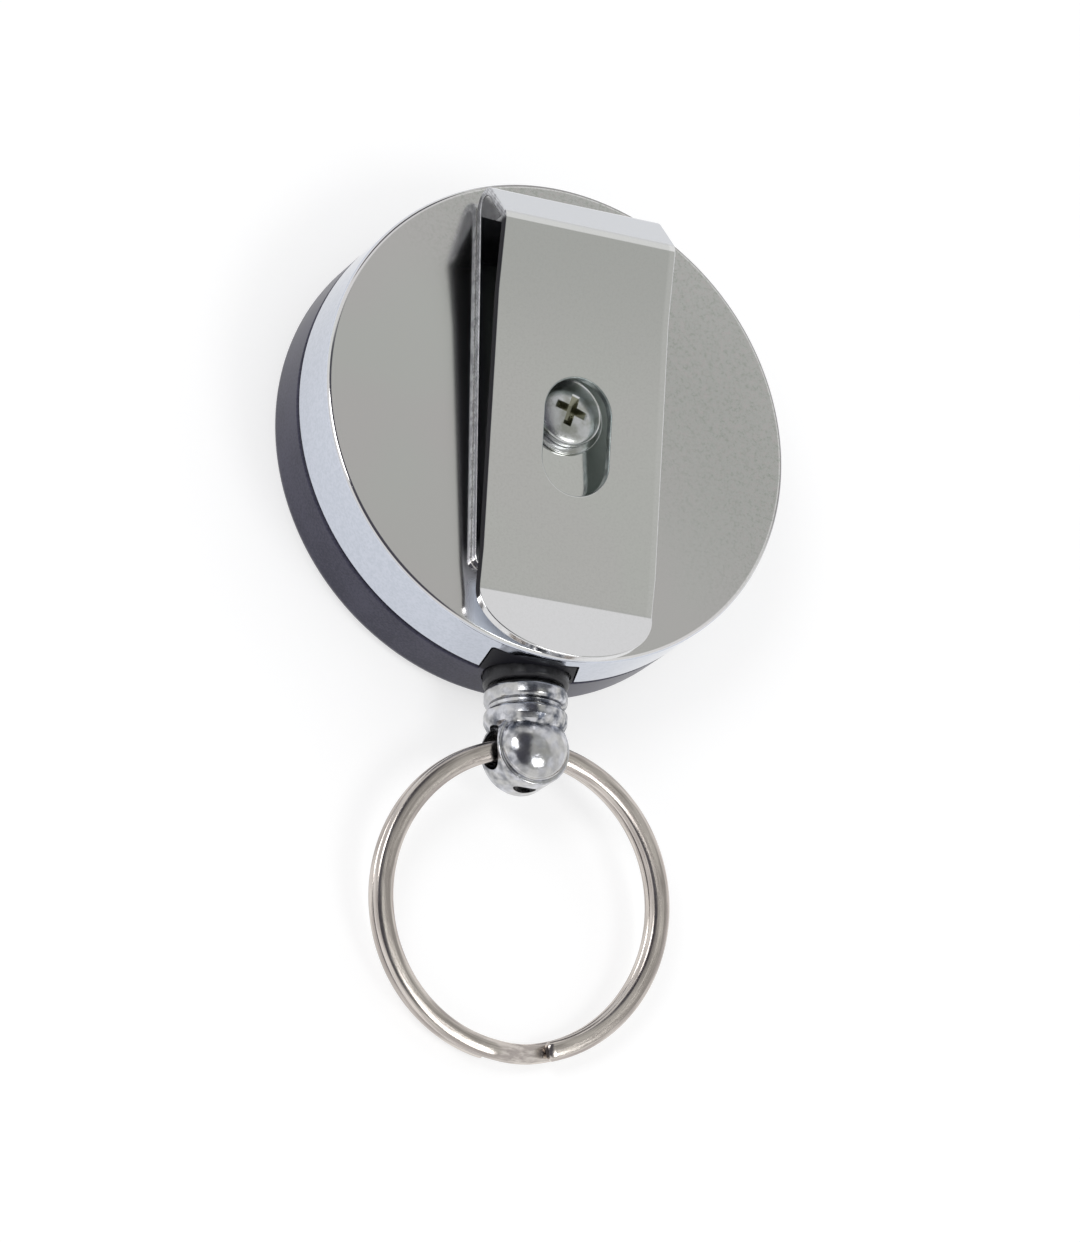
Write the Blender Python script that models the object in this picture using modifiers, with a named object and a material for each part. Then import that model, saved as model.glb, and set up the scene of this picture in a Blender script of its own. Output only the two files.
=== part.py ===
"""Retractable key reel, lying on the flat face of its front shell.

Metres, +Z up. The origin is the centre of that flat face, the steel cord leaves the case
towards -Y, and +Z is the side that carries the belt clip.
"""
import bpy
import bmesh
from math import acos, asin, atan2, cos, hypot, pi, radians, sin, tan
from mathutils import Matrix, Vector

MM = 0.001

# Fits shared by all pieces
seat_gap = 0.06 * MM
running_fit = 0.08 * MM
press_fit = 0.15 * MM
overrun = 1.0 * MM
merge_distance = 0.0005 * MM

# Case
case_radius = 20.0 * MM
front_height = 5.5 * MM
cover_height = 5.5 * MM
shell_wall = 1.5 * MM
shell_floor = 1.4 * MM
shell_front_edge = 1.2 * MM
cover_wall = 0.6 * MM
cover_rear_edge = 0.8 * MM
rim_left_over_mouth = 1.5 * MM

# Mouth, where the cord leaves the case
mouth_width = 8.0 * MM
gate_bridge = 0.6 * MM
bush_flange_depth = 1.2 * MM
bush_barrel_radius = 2.5 * MM
bush_stands_out = 0.8 * MM
bush_barrel_length = 2.0 * MM
bush_funnel_radius = 1.7 * MM
bush_chamfer = 0.3 * MM

# Axle in the middle of the case
axle_radius = 3.0 * MM
axle_flange_radius = 4.6 * MM
axle_flange_depth = 0.7 * MM
axle_web = 1.61 * MM
axle_slot_width = 0.9 * MM
washer_thickness = 0.4 * MM
wear_washer_radius = 8.0 * MM
top_washer_radius = 6.5 * MM

# Drum and what it carries
drum_side_room = 1.2 * MM
drum_top_room = 0.68 * MM
drum_flange_depth = 1.0 * MM
groove_depth = 4.3 * MM
drum_hub_wall = 1.0 * MM
cap_thickness = 0.8 * MM
cap_spigot_wall = 0.8 * MM
cap_spigot_depth = 0.8 * MM
drum_slot_width = 1.2 * MM
drum_edge = 0.3 * MM

# Power spring, a coiled steel strip
strip_thickness = 0.2 * MM
spring_axle_room = 0.9 * MM
spring_hub_room = 0.8 * MM
spring_turns = 8
spring_tail = 1.2 * MM
spring_under_gap = 0.15 * MM
spring_over_gap = 0.75 * MM

# Steel cord
wire_radius = 0.45 * MM
wire_bend_radius = 2.2 * MM
winding_turns = 2
bend_points = 6
wire_fit = 0.15 * MM
anchor_radius = 0.75 * MM

# Belt clip, one strip of spring steel that flexes at its bend
clip_width = 15.0 * MM
clip_thickness = 0.7 * MM
clip_tip_y = -13.9 * MM
clip_bend_y = 16.1 * MM
clip_bend_radius = 1.25 * MM
clip_crest_y = 14.05 * MM
clip_crest_rise = 4.7 * MM
clip_crest_radius = 0.9 * MM
clip_shoulder_y = 8.2 * MM
clip_shoulder_rise = 3.5 * MM
clip_shoulder_radius = 12.0 * MM
clip_heel_y = -12.8 * MM
clip_heel_rise = 1.4 * MM
clip_heel_radius = 5.0 * MM
clip_touch_y = -15.8 * MM
clip_touch_radius = 2.2 * MM
clip_lip_y = -20.5 * MM
clip_lip_rise = 1.4 * MM
clip_lip_start_y = -16.0 * MM
clip_touch_gap = 0.1 * MM
clip_split = 0.1 * MM
slot_width = 5.7 * MM
slot_length = 9.5 * MM
slot_y = -2.6 * MM

# Screw through the clip and cover
screw_radius = 1.5 * MM
screw_tip_room = 2.1 * MM
screw_head_radius = 2.75 * MM
screw_head_height = 1.1 * MM
screw_dome = 0.45 * MM
screw_hole_clear = 0.15 * MM
recess_width = 0.7 * MM
recess_span = 2.9 * MM
recess_depth = 0.7 * MM
clip_washer_radius = 3.25 * MM
clip_washer_thickness = 0.25 * MM

# End fitting, a ribbed collar with a domed eye under it
collar_radius = 3.3 * MM
collar_rib = 1.45 * MM
collar_groove = 0.35 * MM
collar_groove_depth = 0.45 * MM
collar_edge = 0.4 * MM
collar_taper = 0.6 * MM
collar_neck_radius = 2.45 * MM
mouth_gap = 0.15 * MM
eye_radius = 3.1 * MM
eye_half_band = 1.65 * MM
eye_dome = 1.4 * MM
eye_rim = 0.2 * MM
eye_drop = 5.1 * MM
eye_slot_height = 3.5 * MM
eye_slot_width = 2.9 * MM
eye_hole_length = 1.9 * MM
eye_hole_width = 1.3 * MM
ferrule_radius = 1.15 * MM
ferrule_length = 1.6 * MM
neck_web = 1.1 * MM

# Split ring, two flattened turns side by side
ring_outer_radius = 12.65 * MM
ring_wire_width = 1.6 * MM
ring_turn_depth = 0.85 * MM
ring_turn_gap = 0.1 * MM
ring_edge = 0.18 * MM
ring_turns = 2
ring_end_slope = 24
ring_hang_turn = 4
ring_surface_gap = 0.1 * MM

# How finely round shapes are cut
case_steps = 96
drum_steps = 72
small_steps = 32
loop_points = 24
ring_points = 48
clip_arc_points = 5
slot_arc_points = 10
screw_dome_points = 4
eye_dome_points = 5
lip_arc_step = 12

# Places worked out from the sizes above
case_height = front_height + cover_height
cover_inside = case_height - cover_wall
gate_top = case_height - rim_left_over_mouth
mouth_height = front_height
shell_inner_radius = case_radius - shell_wall
spigot_radius = case_radius - cover_wall - press_fit
bush_flange_radius = gate_top - mouth_height - gate_bridge
bush_face_y = -(case_radius + bush_stands_out)
bush_seat_y = bush_face_y + bush_flange_depth
bush_inner_y = bush_seat_y + bush_barrel_length
bush_bore_radius = wire_radius + wire_fit
axle_bottom = shell_floor - axle_flange_depth - seat_gap
axle_top = cover_inside - seat_gap
axle_bore_radius = screw_radius + running_fit
axle_bore_end = axle_bottom + axle_flange_depth + axle_web
drum_bottom = shell_floor + washer_thickness + 2 * seat_gap
drum_bore_radius = axle_radius + running_fit
drum_flange_radius = shell_inner_radius - drum_side_room
drum_hub_radius = drum_flange_radius - groove_depth
hub_inner_radius = drum_hub_radius - drum_hub_wall
groove_bottom = drum_bottom + drum_flange_depth
cap_top = cover_inside - drum_top_room
groove_top = cap_top - cap_thickness
spring_inner_radius = axle_radius + spring_axle_room
spring_outer_radius = hub_inner_radius - spring_hub_room
wire_pitch = (groove_top - seat_gap - wire_radius - mouth_height) / winding_turns
core_radius = drum_hub_radius + 2 * wire_radius + seat_gap
winding_radius = (core_radius + seat_gap + wire_radius) / cos(pi / loop_points)
clip_bottom = case_height + seat_gap
clip_middle = clip_bottom + clip_thickness / 2
clip_top = clip_bottom + clip_thickness
screw_seat = clip_top + clip_washer_thickness + 2 * seat_gap
screw_hole_radius = screw_radius + screw_hole_clear
collar_top_y = bush_face_y - mouth_gap
collar_length = 2 * collar_rib + collar_groove
eye_y = collar_top_y - eye_drop
ring_inner_radius = ring_outer_radius - ring_wire_width
ring_middle_radius = (ring_outer_radius + ring_inner_radius) / 2
ring_depth = 2 * ring_turn_depth + ring_turn_gap
ring_hang = ring_middle_radius - eye_radius ** 2 / ring_middle_radius / 4
crest_over_bend = clip_crest_rise - clip_bend_radius
crest_from_bend = clip_crest_y - clip_bend_y
clip_bend_turn = (atan2(crest_over_bend, crest_from_bend)
                  + asin(clip_bend_radius / hypot(crest_over_bend, crest_from_bend)))
clip_bend_reach = clip_bend_radius * tan(clip_bend_turn / 2)


# Small tools for modelling

def start_scene():
    for thing in list(bpy.data.objects):
        bpy.data.objects.remove(thing, do_unlink=True)
    collections = {}
    for name in ("key_reel", "cutters"):
        collections[name] = bpy.data.collections.new(name)
        bpy.context.scene.collection.children.link(collections[name])
    return collections


def make_material(name, color, roughness, metallic):
    material = bpy.data.materials.new(name)
    material.use_nodes = True
    shader = material.node_tree.nodes["Principled BSDF"]
    shader.inputs["Base Color"].default_value = (*color, 1.0)
    shader.inputs["Roughness"].default_value = roughness
    shader.inputs["Metallic"].default_value = metallic
    return material


def add_object(name, mesh, material=None):
    """Link a mesh as a part when it has a material, and as a cutter when it has none."""
    thing = bpy.data.objects.new(name, mesh)
    if material:
        collections["key_reel"].objects.link(thing)
        mesh.materials.append(material)
    else:
        collections["cutters"].objects.link(thing)
        thing.hide_render = True
        thing.display_type = "WIRE"
    return thing


def mesh_of(name, bm):
    mesh = bpy.data.meshes.new(name)
    bmesh.ops.recalc_face_normals(bm, faces=bm.faces)
    bm.to_mesh(mesh)
    bm.free()
    mesh.shade_smooth()
    mesh.set_sharp_from_angle(angle=radians(35))
    return mesh


def turned(name, profile, steps, material=None, closed=True):
    """Turn a profile of (radius, height) points about Z; it runs down its outer side."""
    mesh = bpy.data.meshes.new(name)
    edges = [(i, i + 1) for i in range(len(profile) - 1)]
    if closed:
        edges.append((len(profile) - 1, 0))
    mesh.from_pydata([(r, 0, z) for r, z in profile], edges, [])
    thing = add_object(name, mesh, material)
    screw = thing.modifiers.new("turn", "SCREW")
    screw.axis = "Z"
    screw.angle = 2 * pi
    screw.steps = screw.render_steps = steps
    screw.use_merge_vertices = True
    screw.merge_threshold = merge_distance
    screw.use_smooth_shade = True
    return thing


def box(name, low, high, material=None):
    bm = bmesh.new()
    bmesh.ops.create_cube(bm, size=1)
    low, high = Vector(low), Vector(high)
    size = high - low
    bmesh.ops.scale(bm, vec=size, verts=bm.verts)
    bmesh.ops.translate(bm, vec=(low + high) / 2, verts=bm.verts)
    return add_object(name, mesh_of(name, bm), material)


def rod(name, radius, start, end, steps, material=None):
    """A round bar between two points, rolled so that its corners miss those of turned pieces."""
    start, end = Vector(start), Vector(end)
    along = end - start
    bm = bmesh.new()
    bmesh.ops.create_cone(
        bm, cap_ends=True, segments=steps, radius1=radius, radius2=radius, depth=along.length)
    turn = Vector((0, 0, 1)).rotation_difference(along).to_matrix().to_4x4()
    roll = Matrix.Rotation(pi / steps / 2, 4, "Z")
    place = Matrix.Translation((start + end) / 2) @ turn @ roll
    bmesh.ops.transform(bm, matrix=place, verts=bm.verts)
    return add_object(name, mesh_of(name, bm), material)


def prism(name, outline, start, direction, material=None):
    """A flat outline of points, swept along a direction."""
    bm = bmesh.new()
    face = bm.faces.new([bm.verts.new(Vector(start) + Vector(p)) for p in outline])
    swept = bmesh.ops.extrude_face_region(bm, geom=[face])
    moved = [v for v in swept["geom"] if isinstance(v, bmesh.types.BMVert)]
    bmesh.ops.translate(bm, vec=direction, verts=moved)
    return add_object(name, mesh_of(name, bm), material)


def combine(target, tool, operation="DIFFERENCE"):
    modifier = target.modifiers.new(tool.name, "BOOLEAN")
    modifier.operation = operation
    modifier.object = tool
    modifier.solver = "EXACT"
    return target


def arc(centre, radius, start, end, count):
    """Points of a round stretch from one angle to another, in degrees."""
    angles = [radians(start + (end - start) * i / count) for i in range(count + 1)]
    return [(centre[0] + radius * cos(a), centre[1] + radius * sin(a)) for a in angles]


def dome(radius, base, rise, count):
    """Points of a shallow dome's side, from its pole down to its rim."""
    angles = [pi / 2 * (1 - i / count) for i in range(count + 1)]
    return [(0, base + rise)] + [(radius * cos(a), base + rise * sin(a)) for a in angles[1:]]


def rounded_path(corners, radii, count):
    """A flat path through corners, each rounded by an arc of its own radius."""
    path = [Vector(corners[0])]
    for before, corner, after, radius in zip(corners, corners[1:], corners[2:], radii):
        corner = Vector(corner)
        back = (Vector(before) - corner).normalized()
        ahead = (Vector(after) - corner).normalized()
        turn = pi - back.angle(ahead)
        reach = radius * tan(turn / 2)
        middle = corner + (back + ahead).normalized() * (radius / cos(turn / 2))
        first = corner + back * reach - middle
        side = 1 if back.x * ahead.y - back.y * ahead.x < 0 else -1
        for i in range(count + 1):
            a = side * turn * i / count
            path.append(middle + Vector((first.x * cos(a) - first.y * sin(a),
                                         first.x * sin(a) + first.y * cos(a))))
    path.append(Vector(corners[-1]))
    return path


def strip_mesh(name, path, width):
    """An open strip of the given width along a path in the YZ plane."""
    bm = bmesh.new()
    rows = [[bm.verts.new((side * width / 2, p.x, p.y)) for side in (-1, 1)] for p in path]
    for (a, b), (c, d) in zip(rows, rows[1:]):
        bm.faces.new((a, b, d, c))
    return mesh_of(name, bm)


def solidify(thing, thickness):
    modifier = thing.modifiers.new("thickness", "SOLIDIFY")
    modifier.thickness = thickness
    modifier.offset = 0
    modifier.use_even_offset = True
    return modifier


def bevel(thing, width, segments=1, angle=40):
    modifier = thing.modifiers.new("edges", "BEVEL")
    modifier.width = width
    modifier.segments = segments
    modifier.limit_method = "ANGLE"
    modifier.angle_limit = radians(angle)
    return modifier


def tube(name, points, radius, material, resolution=1):
    """A round wire through points, with filled ends."""
    curve = bpy.data.curves.new(name, "CURVE")
    curve.dimensions = "3D"
    curve.bevel_depth = radius
    curve.bevel_resolution = resolution
    curve.use_fill_caps = True
    spline = curve.splines.new("POLY")
    spline.points.add(len(points) - 1)
    for point, place in zip(spline.points, points):
        point.co = (*place, 1)
    curve.materials.append(material)
    thing = bpy.data.objects.new(name, curve)
    collections["key_reel"].objects.link(thing)
    return thing


# Case

def build_front_shell(material):
    """Black tub with the spigot for the cover and a gate that fills the cover's notch."""
    floor_edge = arc((case_radius - shell_front_edge, shell_front_edge), shell_front_edge, 0, -90, 4)
    pocket_radius = axle_flange_radius + press_fit
    pocket_floor = axle_bottom - seat_gap
    profile = [(0, pocket_floor), (pocket_radius, pocket_floor), (pocket_radius, shell_floor),
               (shell_inner_radius, shell_floor), (shell_inner_radius, gate_top),
               (case_radius, gate_top), *floor_edge, (0, 0)]
    shell = turned("front_shell", profile, case_steps, material, closed=False)
    step = turned("cover_recess", [
        (case_radius + overrun, gate_top + overrun), (case_radius + overrun, front_height),
        (spigot_radius, front_height), (spigot_radius, gate_top + overrun)], case_steps)
    step.rotation_euler = (0, 0, pi / case_steps)
    gate = box("gate_kept", (-mouth_width / 2, -case_radius - 2 * overrun, front_height - overrun),
               (mouth_width / 2, -spigot_radius / 2, gate_top + 2 * overrun))
    combine(step, gate)
    combine(shell, step)
    combine(shell, rod("bush_hole", bush_barrel_radius + press_fit,
                       (0, -case_radius - overrun, mouth_height),
                       (0, -shell_inner_radius + overrun, mouth_height), small_steps))
    combine(shell, rod("bush_seat", bush_flange_radius + press_fit,
                       (0, -case_radius - overrun, mouth_height),
                       (0, bush_seat_y + seat_gap, mouth_height), small_steps))
    return shell


def build_rear_cover(material):
    """Chromed pressed cup over the spigot, notched round the gate."""
    rear_edge = arc((case_radius - cover_rear_edge, case_height - cover_rear_edge),
                    cover_rear_edge, 90, 0, 4)
    lower = front_height + seat_gap
    profile = [(screw_hole_radius, case_height), *rear_edge, (case_radius, lower),
               (case_radius - cover_wall, lower), (case_radius - cover_wall, cover_inside),
               (screw_hole_radius, cover_inside)]
    cover = turned("rear_cover", profile, case_steps, material)
    half = mouth_width / 2 + press_fit
    combine(cover, box("notch", (-half, -case_radius - overrun, front_height - overrun),
                       (half, -spigot_radius + shell_wall, gate_top + press_fit)))
    return cover


def build_mouth_bush(material):
    """Guide that the cord runs through, with a funnel inside and a round boss outside."""
    flange_end = bush_flange_depth - bush_chamfer
    profile = [(bush_funnel_radius, -bush_barrel_length), (bush_bore_radius, -bush_barrel_length / 2),
               (bush_bore_radius, bush_flange_depth),
               (bush_flange_radius - bush_chamfer, bush_flange_depth),
               (bush_flange_radius, flange_end), (bush_flange_radius, 0),
               (bush_barrel_radius, 0), (bush_barrel_radius, -bush_barrel_length)]
    bush = turned("mouth_bush", profile, small_steps, material)
    bush.location = (0, bush_seat_y, mouth_height)
    bush.rotation_euler = (pi / 2, 0, 0)
    return bush


def build_centre_axle(material):
    """Flanged steel post moulded into the floor, bored for the screw, slotted for the spring."""
    flange_top = axle_bottom + axle_flange_depth
    profile = [(0, axle_bore_end - axle_bore_radius / 2), (axle_bore_radius, axle_bore_end),
               (axle_bore_radius, axle_top), (axle_radius, axle_top), (axle_radius, flange_top),
               (axle_flange_radius, flange_top), (axle_flange_radius, axle_bottom), (0, axle_bottom)]
    axle = turned("centre_axle", profile, small_steps, material, closed=False)
    combine(axle, box("axle_slot", (axle_bore_radius / 2, -axle_slot_width / 2, groove_bottom),
                      (axle_radius + overrun, axle_slot_width / 2, axle_top - axle_bore_radius)))
    return axle


def build_washer(name, inner, outer, thickness, low, material):
    high = low + thickness
    return turned(name, [(inner, high), (outer, high), (outer, low), (inner, low)],
                  small_steps, material)


# Drum

def build_drum(material):
    """Spool with the spring's chamber inside its hub."""
    low, rim = drum_bottom, drum_flange_radius
    profile = [(hub_inner_radius, groove_top - seat_gap), (drum_hub_radius, groove_top - seat_gap),
               (drum_hub_radius, groove_bottom), (rim - drum_edge, groove_bottom),
               (rim, groove_bottom - drum_edge), (rim, low + drum_edge), (rim - drum_edge, low),
               (drum_bore_radius, low), (drum_bore_radius, groove_bottom),
               (hub_inner_radius, groove_bottom)]
    drum = turned("drum", profile, drum_steps, material)
    combine(drum, box("spring_slot", (hub_inner_radius - overrun, -drum_slot_width / 2,
                                      groove_bottom + seat_gap),
                      (drum_hub_radius + overrun, drum_slot_width / 2, groove_top + overrun)))
    return drum


def build_drum_cap(material):
    """Upper flange of the spool, which shuts the spring's chamber."""
    rim, spigot = drum_flange_radius, hub_inner_radius - press_fit
    low = groove_top - cap_spigot_depth
    profile = [(drum_bore_radius, cap_top), (rim - drum_edge, cap_top), (rim, cap_top - drum_edge),
               (rim, groove_top + drum_edge), (rim - drum_edge, groove_top), (spigot, groove_top),
               (spigot, low), (spigot - cap_spigot_wall, low),
               (spigot - cap_spigot_wall, groove_top), (drum_bore_radius, groove_top)]
    return turned("drum_cap", profile, drum_steps, material)


def build_power_spring(material):
    """Flat spiral strip: its inner tail sits in the axle's slot, the outer in the hub's."""
    count = spring_turns * loop_points
    growth = spring_outer_radius - spring_inner_radius
    points = [(spring_inner_radius - 2 * spring_tail, 0), (spring_inner_radius - spring_tail, 0)]
    for i in range(count + 1):
        a = 2 * pi * i / loop_points
        r = spring_inner_radius + growth * i / count
        points.append((r * cos(a), r * sin(a)))
    points.append((spring_outer_radius + spring_tail, 0))
    low = groove_bottom + spring_under_gap
    high = groove_top - cap_spigot_depth - spring_over_gap
    bm = bmesh.new()
    rows = [[bm.verts.new((x, y, z)) for z in (low, high)] for x, y in points]
    for (a, b), (c, d) in zip(rows, rows[1:]):
        bm.faces.new((a, c, d, b))
    spring = add_object("power_spring", mesh_of("power_spring", bm), material)
    solidify(spring, strip_thickness)
    return spring


# Steel cord

def build_winding(material):
    """Outer layer of cord on the drum and its lead into the mouth, one unbroken wire."""
    bend_y = bush_inner_y + wire_bend_radius / 3
    last = -pi / 2 - acos(winding_radius / -bend_y)
    count = winding_turns * loop_points
    helix = []
    for i in range(count + 1):
        left = 1 - i / count
        a = last - 2 * pi * winding_turns * left
        helix.append(Vector((winding_radius * cos(a), winding_radius * sin(a),
                             mouth_height + wire_pitch * winding_turns * left)))
    lead_in = helix[0] + Vector((sin(last), -cos(last), 0)) * 2 * wire_radius
    vertex = Vector((0, bend_y, mouth_height))
    arriving = (vertex - helix[-1]).normalized()
    leaving = Vector((0, -1, 0))
    reach = wire_bend_radius * tan(arriving.angle(leaving) / 2)
    bend = []
    for i in range(bend_points + 1):
        t = i / bend_points
        bend.append(vertex - arriving * reach * (1 - t) ** 2 + leaving * reach * t ** 2)
    points = [lead_in, *helix, *bend, Vector((0, bush_face_y + seat_gap, mouth_height))]
    print("least gap of the wound cord to itself: %.2f mm" % (least_gap(points) / MM))
    return tube("wire_winding", points, wire_radius, material)


def least_gap(points):
    """Least clear distance between turns of the cord, measured on its points."""
    away = loop_points // 2
    least = min((p - q).length for i, p in enumerate(points) for q in points[i + away:])
    return least - 2 * wire_radius


def build_wire_core(material):
    """Inner layer of cord, under the outer one."""
    low, high = groove_bottom + seat_gap, groove_top - seat_gap
    inner = drum_hub_radius + seat_gap
    return turned("wire_core", [(inner, high), (core_radius, high), (core_radius, low),
                                (inner, low)], drum_steps, material)


def build_wire_anchor(drum, material):
    """Ferrule on the cord's inner end, in a hole of the drum's lower flange."""
    x = -(drum_hub_radius + anchor_radius + seat_gap)
    combine(drum, rod("anchor_hole", anchor_radius + press_fit, (x, 0, drum_bottom - overrun),
                      (x, 0, groove_bottom + seat_gap / 2), small_steps // 2))
    return rod("wire_anchor", anchor_radius, (x, 0, drum_bottom + seat_gap),
               (x, 0, groove_bottom - seat_gap), small_steps // 2, material=material)


# Belt clip

def clip_path():
    """Middle line of the clip's strip in the YZ plane, from the base's tip to the lip."""
    z = clip_middle
    corner = clip_bend_y + clip_bend_reach
    corners = [(clip_tip_y, z), (corner, z), (clip_crest_y, z + clip_crest_rise),
               (clip_shoulder_y, z + clip_shoulder_rise), (clip_heel_y, z + clip_heel_rise),
               (clip_touch_y, z + clip_thickness + clip_touch_gap), (clip_lip_y, z + clip_lip_rise)]
    radii = [clip_bend_radius, clip_crest_radius, clip_shoulder_radius, clip_heel_radius,
             clip_touch_radius]
    return rounded_path(corners, radii, clip_arc_points)


def split_clip(path):
    """Base and leaf, parted by a narrow gap just past the bend."""
    cut = 2 + clip_arc_points
    base, rest = path[:cut], path[cut:]
    ahead = (rest[0] - base[-1]).normalized()
    base.append(base[-1] + ahead * clip_thickness / 2)
    rest.insert(0, base[-1] + ahead * clip_split)
    return base, rest


def build_clip_base(path, material):
    base = add_object("clip_base", strip_mesh("clip_base", path, clip_width), material)
    solidify(base, clip_thickness)
    combine(base, rod("clip_hole", screw_hole_radius, (0, 0, clip_bottom - overrun),
                      (0, 0, clip_top + overrun), small_steps))
    return base


def build_clip_leaf(path, material):
    """Sprung leaf with the screwdriver's slot and a rounded lip."""
    leaf = add_object("clip_leaf", strip_mesh("clip_leaf", path, clip_width), material)
    solidify(leaf, clip_thickness)
    low, tall = clip_bottom, Vector((0, 0, clip_crest_rise + 4 * clip_thickness))
    half, depth = clip_width / 2, clip_lip_start_y - clip_lip_y
    curve = [(half * cos(radians(a)), clip_lip_start_y + depth * sin(radians(a)), 0)
             for a in range(-180, 1, lip_arc_step)]
    back = clip_bend_y + 2 * clip_width
    outline = [(-half - overrun, back, 0), (-half - overrun, clip_lip_start_y, 0), *curve,
               (half + overrun, clip_lip_start_y, 0), (half + overrun, back, 0)]
    combine(leaf, prism("lip_outline", outline, (0, 0, low), tall), "INTERSECT")
    end = slot_length / 2 - slot_width / 2
    around = arc((0, slot_y + end), slot_width / 2, 0, 180, slot_arc_points)
    around += arc((0, slot_y - end), slot_width / 2, 180, 360, slot_arc_points)
    combine(leaf, prism("driver_slot", [(x, y, 0) for x, y in around], (0, 0, low), tall))
    return leaf


def build_clip_screw(material):
    """Low pan head screw with a cross recess."""
    brim = screw_seat + screw_head_height - screw_dome
    end = axle_bore_end + screw_tip_room
    profile = [*dome(screw_head_radius, brim, screw_dome, screw_dome_points),
               (screw_head_radius, screw_seat),
               (screw_radius, screw_seat), (screw_radius, end + screw_radius / 2),
               (screw_radius / 2, end), (0, end)]
    screw = turned("clip_screw", profile, small_steps, material, closed=False)
    top = screw_seat + screw_head_height
    low = top - recess_depth
    long, wide = recess_span / 2, recess_width / 2
    cross = box("recess_x", (-long, -wide, low), (long, wide, top + overrun))
    combine(cross, box("recess_y", (-wide, -long, low), (wide, long, top + overrun)), "UNION")
    combine(screw, cross)
    return screw


# End fitting, cord end and ring

def eye_profile():
    """Side of the eye, a drum with a domed face on both sides."""
    upper = [*dome(eye_radius - eye_rim, eye_half_band, eye_dome, eye_dome_points),
             (eye_radius, eye_half_band - eye_rim)]
    return upper + [(r, -z) for r, z in reversed(upper)]


def build_end_fitting(material):
    """Ribbed collar and domed eye, hollow for the cord's ferrule and the ring."""
    rib, edge, length = collar_rib, collar_edge, collar_length
    inner = collar_radius - collar_groove_depth
    profile = [(0, length + collar_taper), (collar_neck_radius, length + collar_taper),
               (collar_radius - edge, length), (collar_radius, length - edge),
               (collar_radius, length - rib + edge / 2), (inner, length - rib), (inner, rib),
               (collar_radius, rib - edge / 2), (collar_radius, edge),
               (collar_radius - edge, 0), (0, 0)]
    fitting = turned("end_fitting", profile, small_steps, material, closed=False)
    fitting.location = (0, collar_top_y, mouth_height)
    fitting.rotation_euler = (pi / 2, 0, 0)
    eye = turned("eye", eye_profile(), small_steps, closed=False)
    eye.location = (0, eye_y, mouth_height)
    combine(fitting, eye, "UNION")
    end = eye_slot_height / 2 - eye_slot_width / 2
    around = arc((eye_y + end, mouth_height), eye_slot_width / 2, -90, 90, slot_arc_points)
    around += arc((eye_y - end, mouth_height), eye_slot_width / 2, 90, 270, slot_arc_points)
    side = eye_radius + overrun
    combine(fitting, prism("ring_slot", [(0, y, z) for y, z in around], (-side, 0, 0),
                           (2 * side, 0, 0)))
    combine(fitting, rod("cord_bore", wire_radius + running_fit,
                         (0, collar_top_y + overrun, mouth_height), (0, eye_y, mouth_height),
                         small_steps // 2))
    combine(fitting, rod("ferrule_room", ferrule_radius + running_fit,
                         (0, collar_top_y - neck_web, mouth_height), (0, eye_y, mouth_height),
                         small_steps))
    hole = rod("end_hole", eye_hole_length / 2, (0, eye_y, mouth_height),
               (0, eye_y - eye_radius - overrun, mouth_height), small_steps // 2)
    hole.scale = (1, 1, eye_hole_width / eye_hole_length)
    hole.location = (0, 0, mouth_height * (1 - eye_hole_width / eye_hole_length))
    combine(fitting, hole)
    return fitting


def build_cord_end(wire_material, ferrule_material):
    """Cord's outer end and the ferrule that holds it in the collar."""
    start = bush_face_y
    seat = collar_top_y - neck_web - seat_gap
    end = seat - ferrule_length
    tail = rod("wire_tail", wire_radius, (0, start, mouth_height), (0, end, mouth_height),
               small_steps // 2, material=wire_material)
    bore = wire_radius + seat_gap
    ferrule = turned("wire_ferrule", [(bore, ferrule_length), (ferrule_radius, ferrule_length),
                                      (ferrule_radius, 0), (bore, 0)],
                     small_steps // 2, ferrule_material)
    ferrule.location = (0, seat, mouth_height)
    ferrule.rotation_euler = (pi / 2, 0, 0)
    return tail, ferrule


def ring_lean():
    """Angle at which the hanging ring's far side reaches the surface under the case."""
    reach = ring_hang + ring_outer_radius
    half = ring_depth / 2
    return asin((mouth_height - ring_surface_gap) / hypot(reach, half)) - atan2(half, reach)


def build_split_ring(material):
    """Two flattened turns of one wire, with a slope between them and two open ends."""
    slope = radians(ring_end_slope)
    offset = (ring_turn_depth + ring_turn_gap) / 2
    span = 2 * pi * ring_turns - slope
    count = ring_turns * ring_points
    bm = bmesh.new()
    rows = []
    for i in range(count + 1):
        a = slope / 2 + span * i / count
        across = min(max((a - 2 * pi) / slope + 0.5, 0), 1)
        z = offset * (1 - 2 * across * across * (3 - 2 * across))
        rows.append([bm.verts.new((r * sin(a), -r * cos(a), z))
                     for r in (ring_inner_radius, ring_outer_radius)])
    for (p, q), (s, t) in zip(rows, rows[1:]):
        bm.faces.new((p, q, t, s))
    ring = add_object("split_ring", mesh_of("split_ring", bm), material)
    solidify(ring, ring_turn_depth)
    bevel(ring, ring_edge)
    pivot = bpy.data.objects.new("ring_pivot", None)
    collections["key_reel"].objects.link(pivot)
    pivot.location = (0, eye_y, mouth_height)
    pivot.rotation_euler = (ring_lean(), 0, 0)
    turn = Matrix.Rotation(radians(ring_hang_turn), 4, "Z")
    ring.parent = pivot
    ring.matrix_local = turn @ Matrix.Translation((0, -ring_hang, 0))
    return ring


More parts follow.
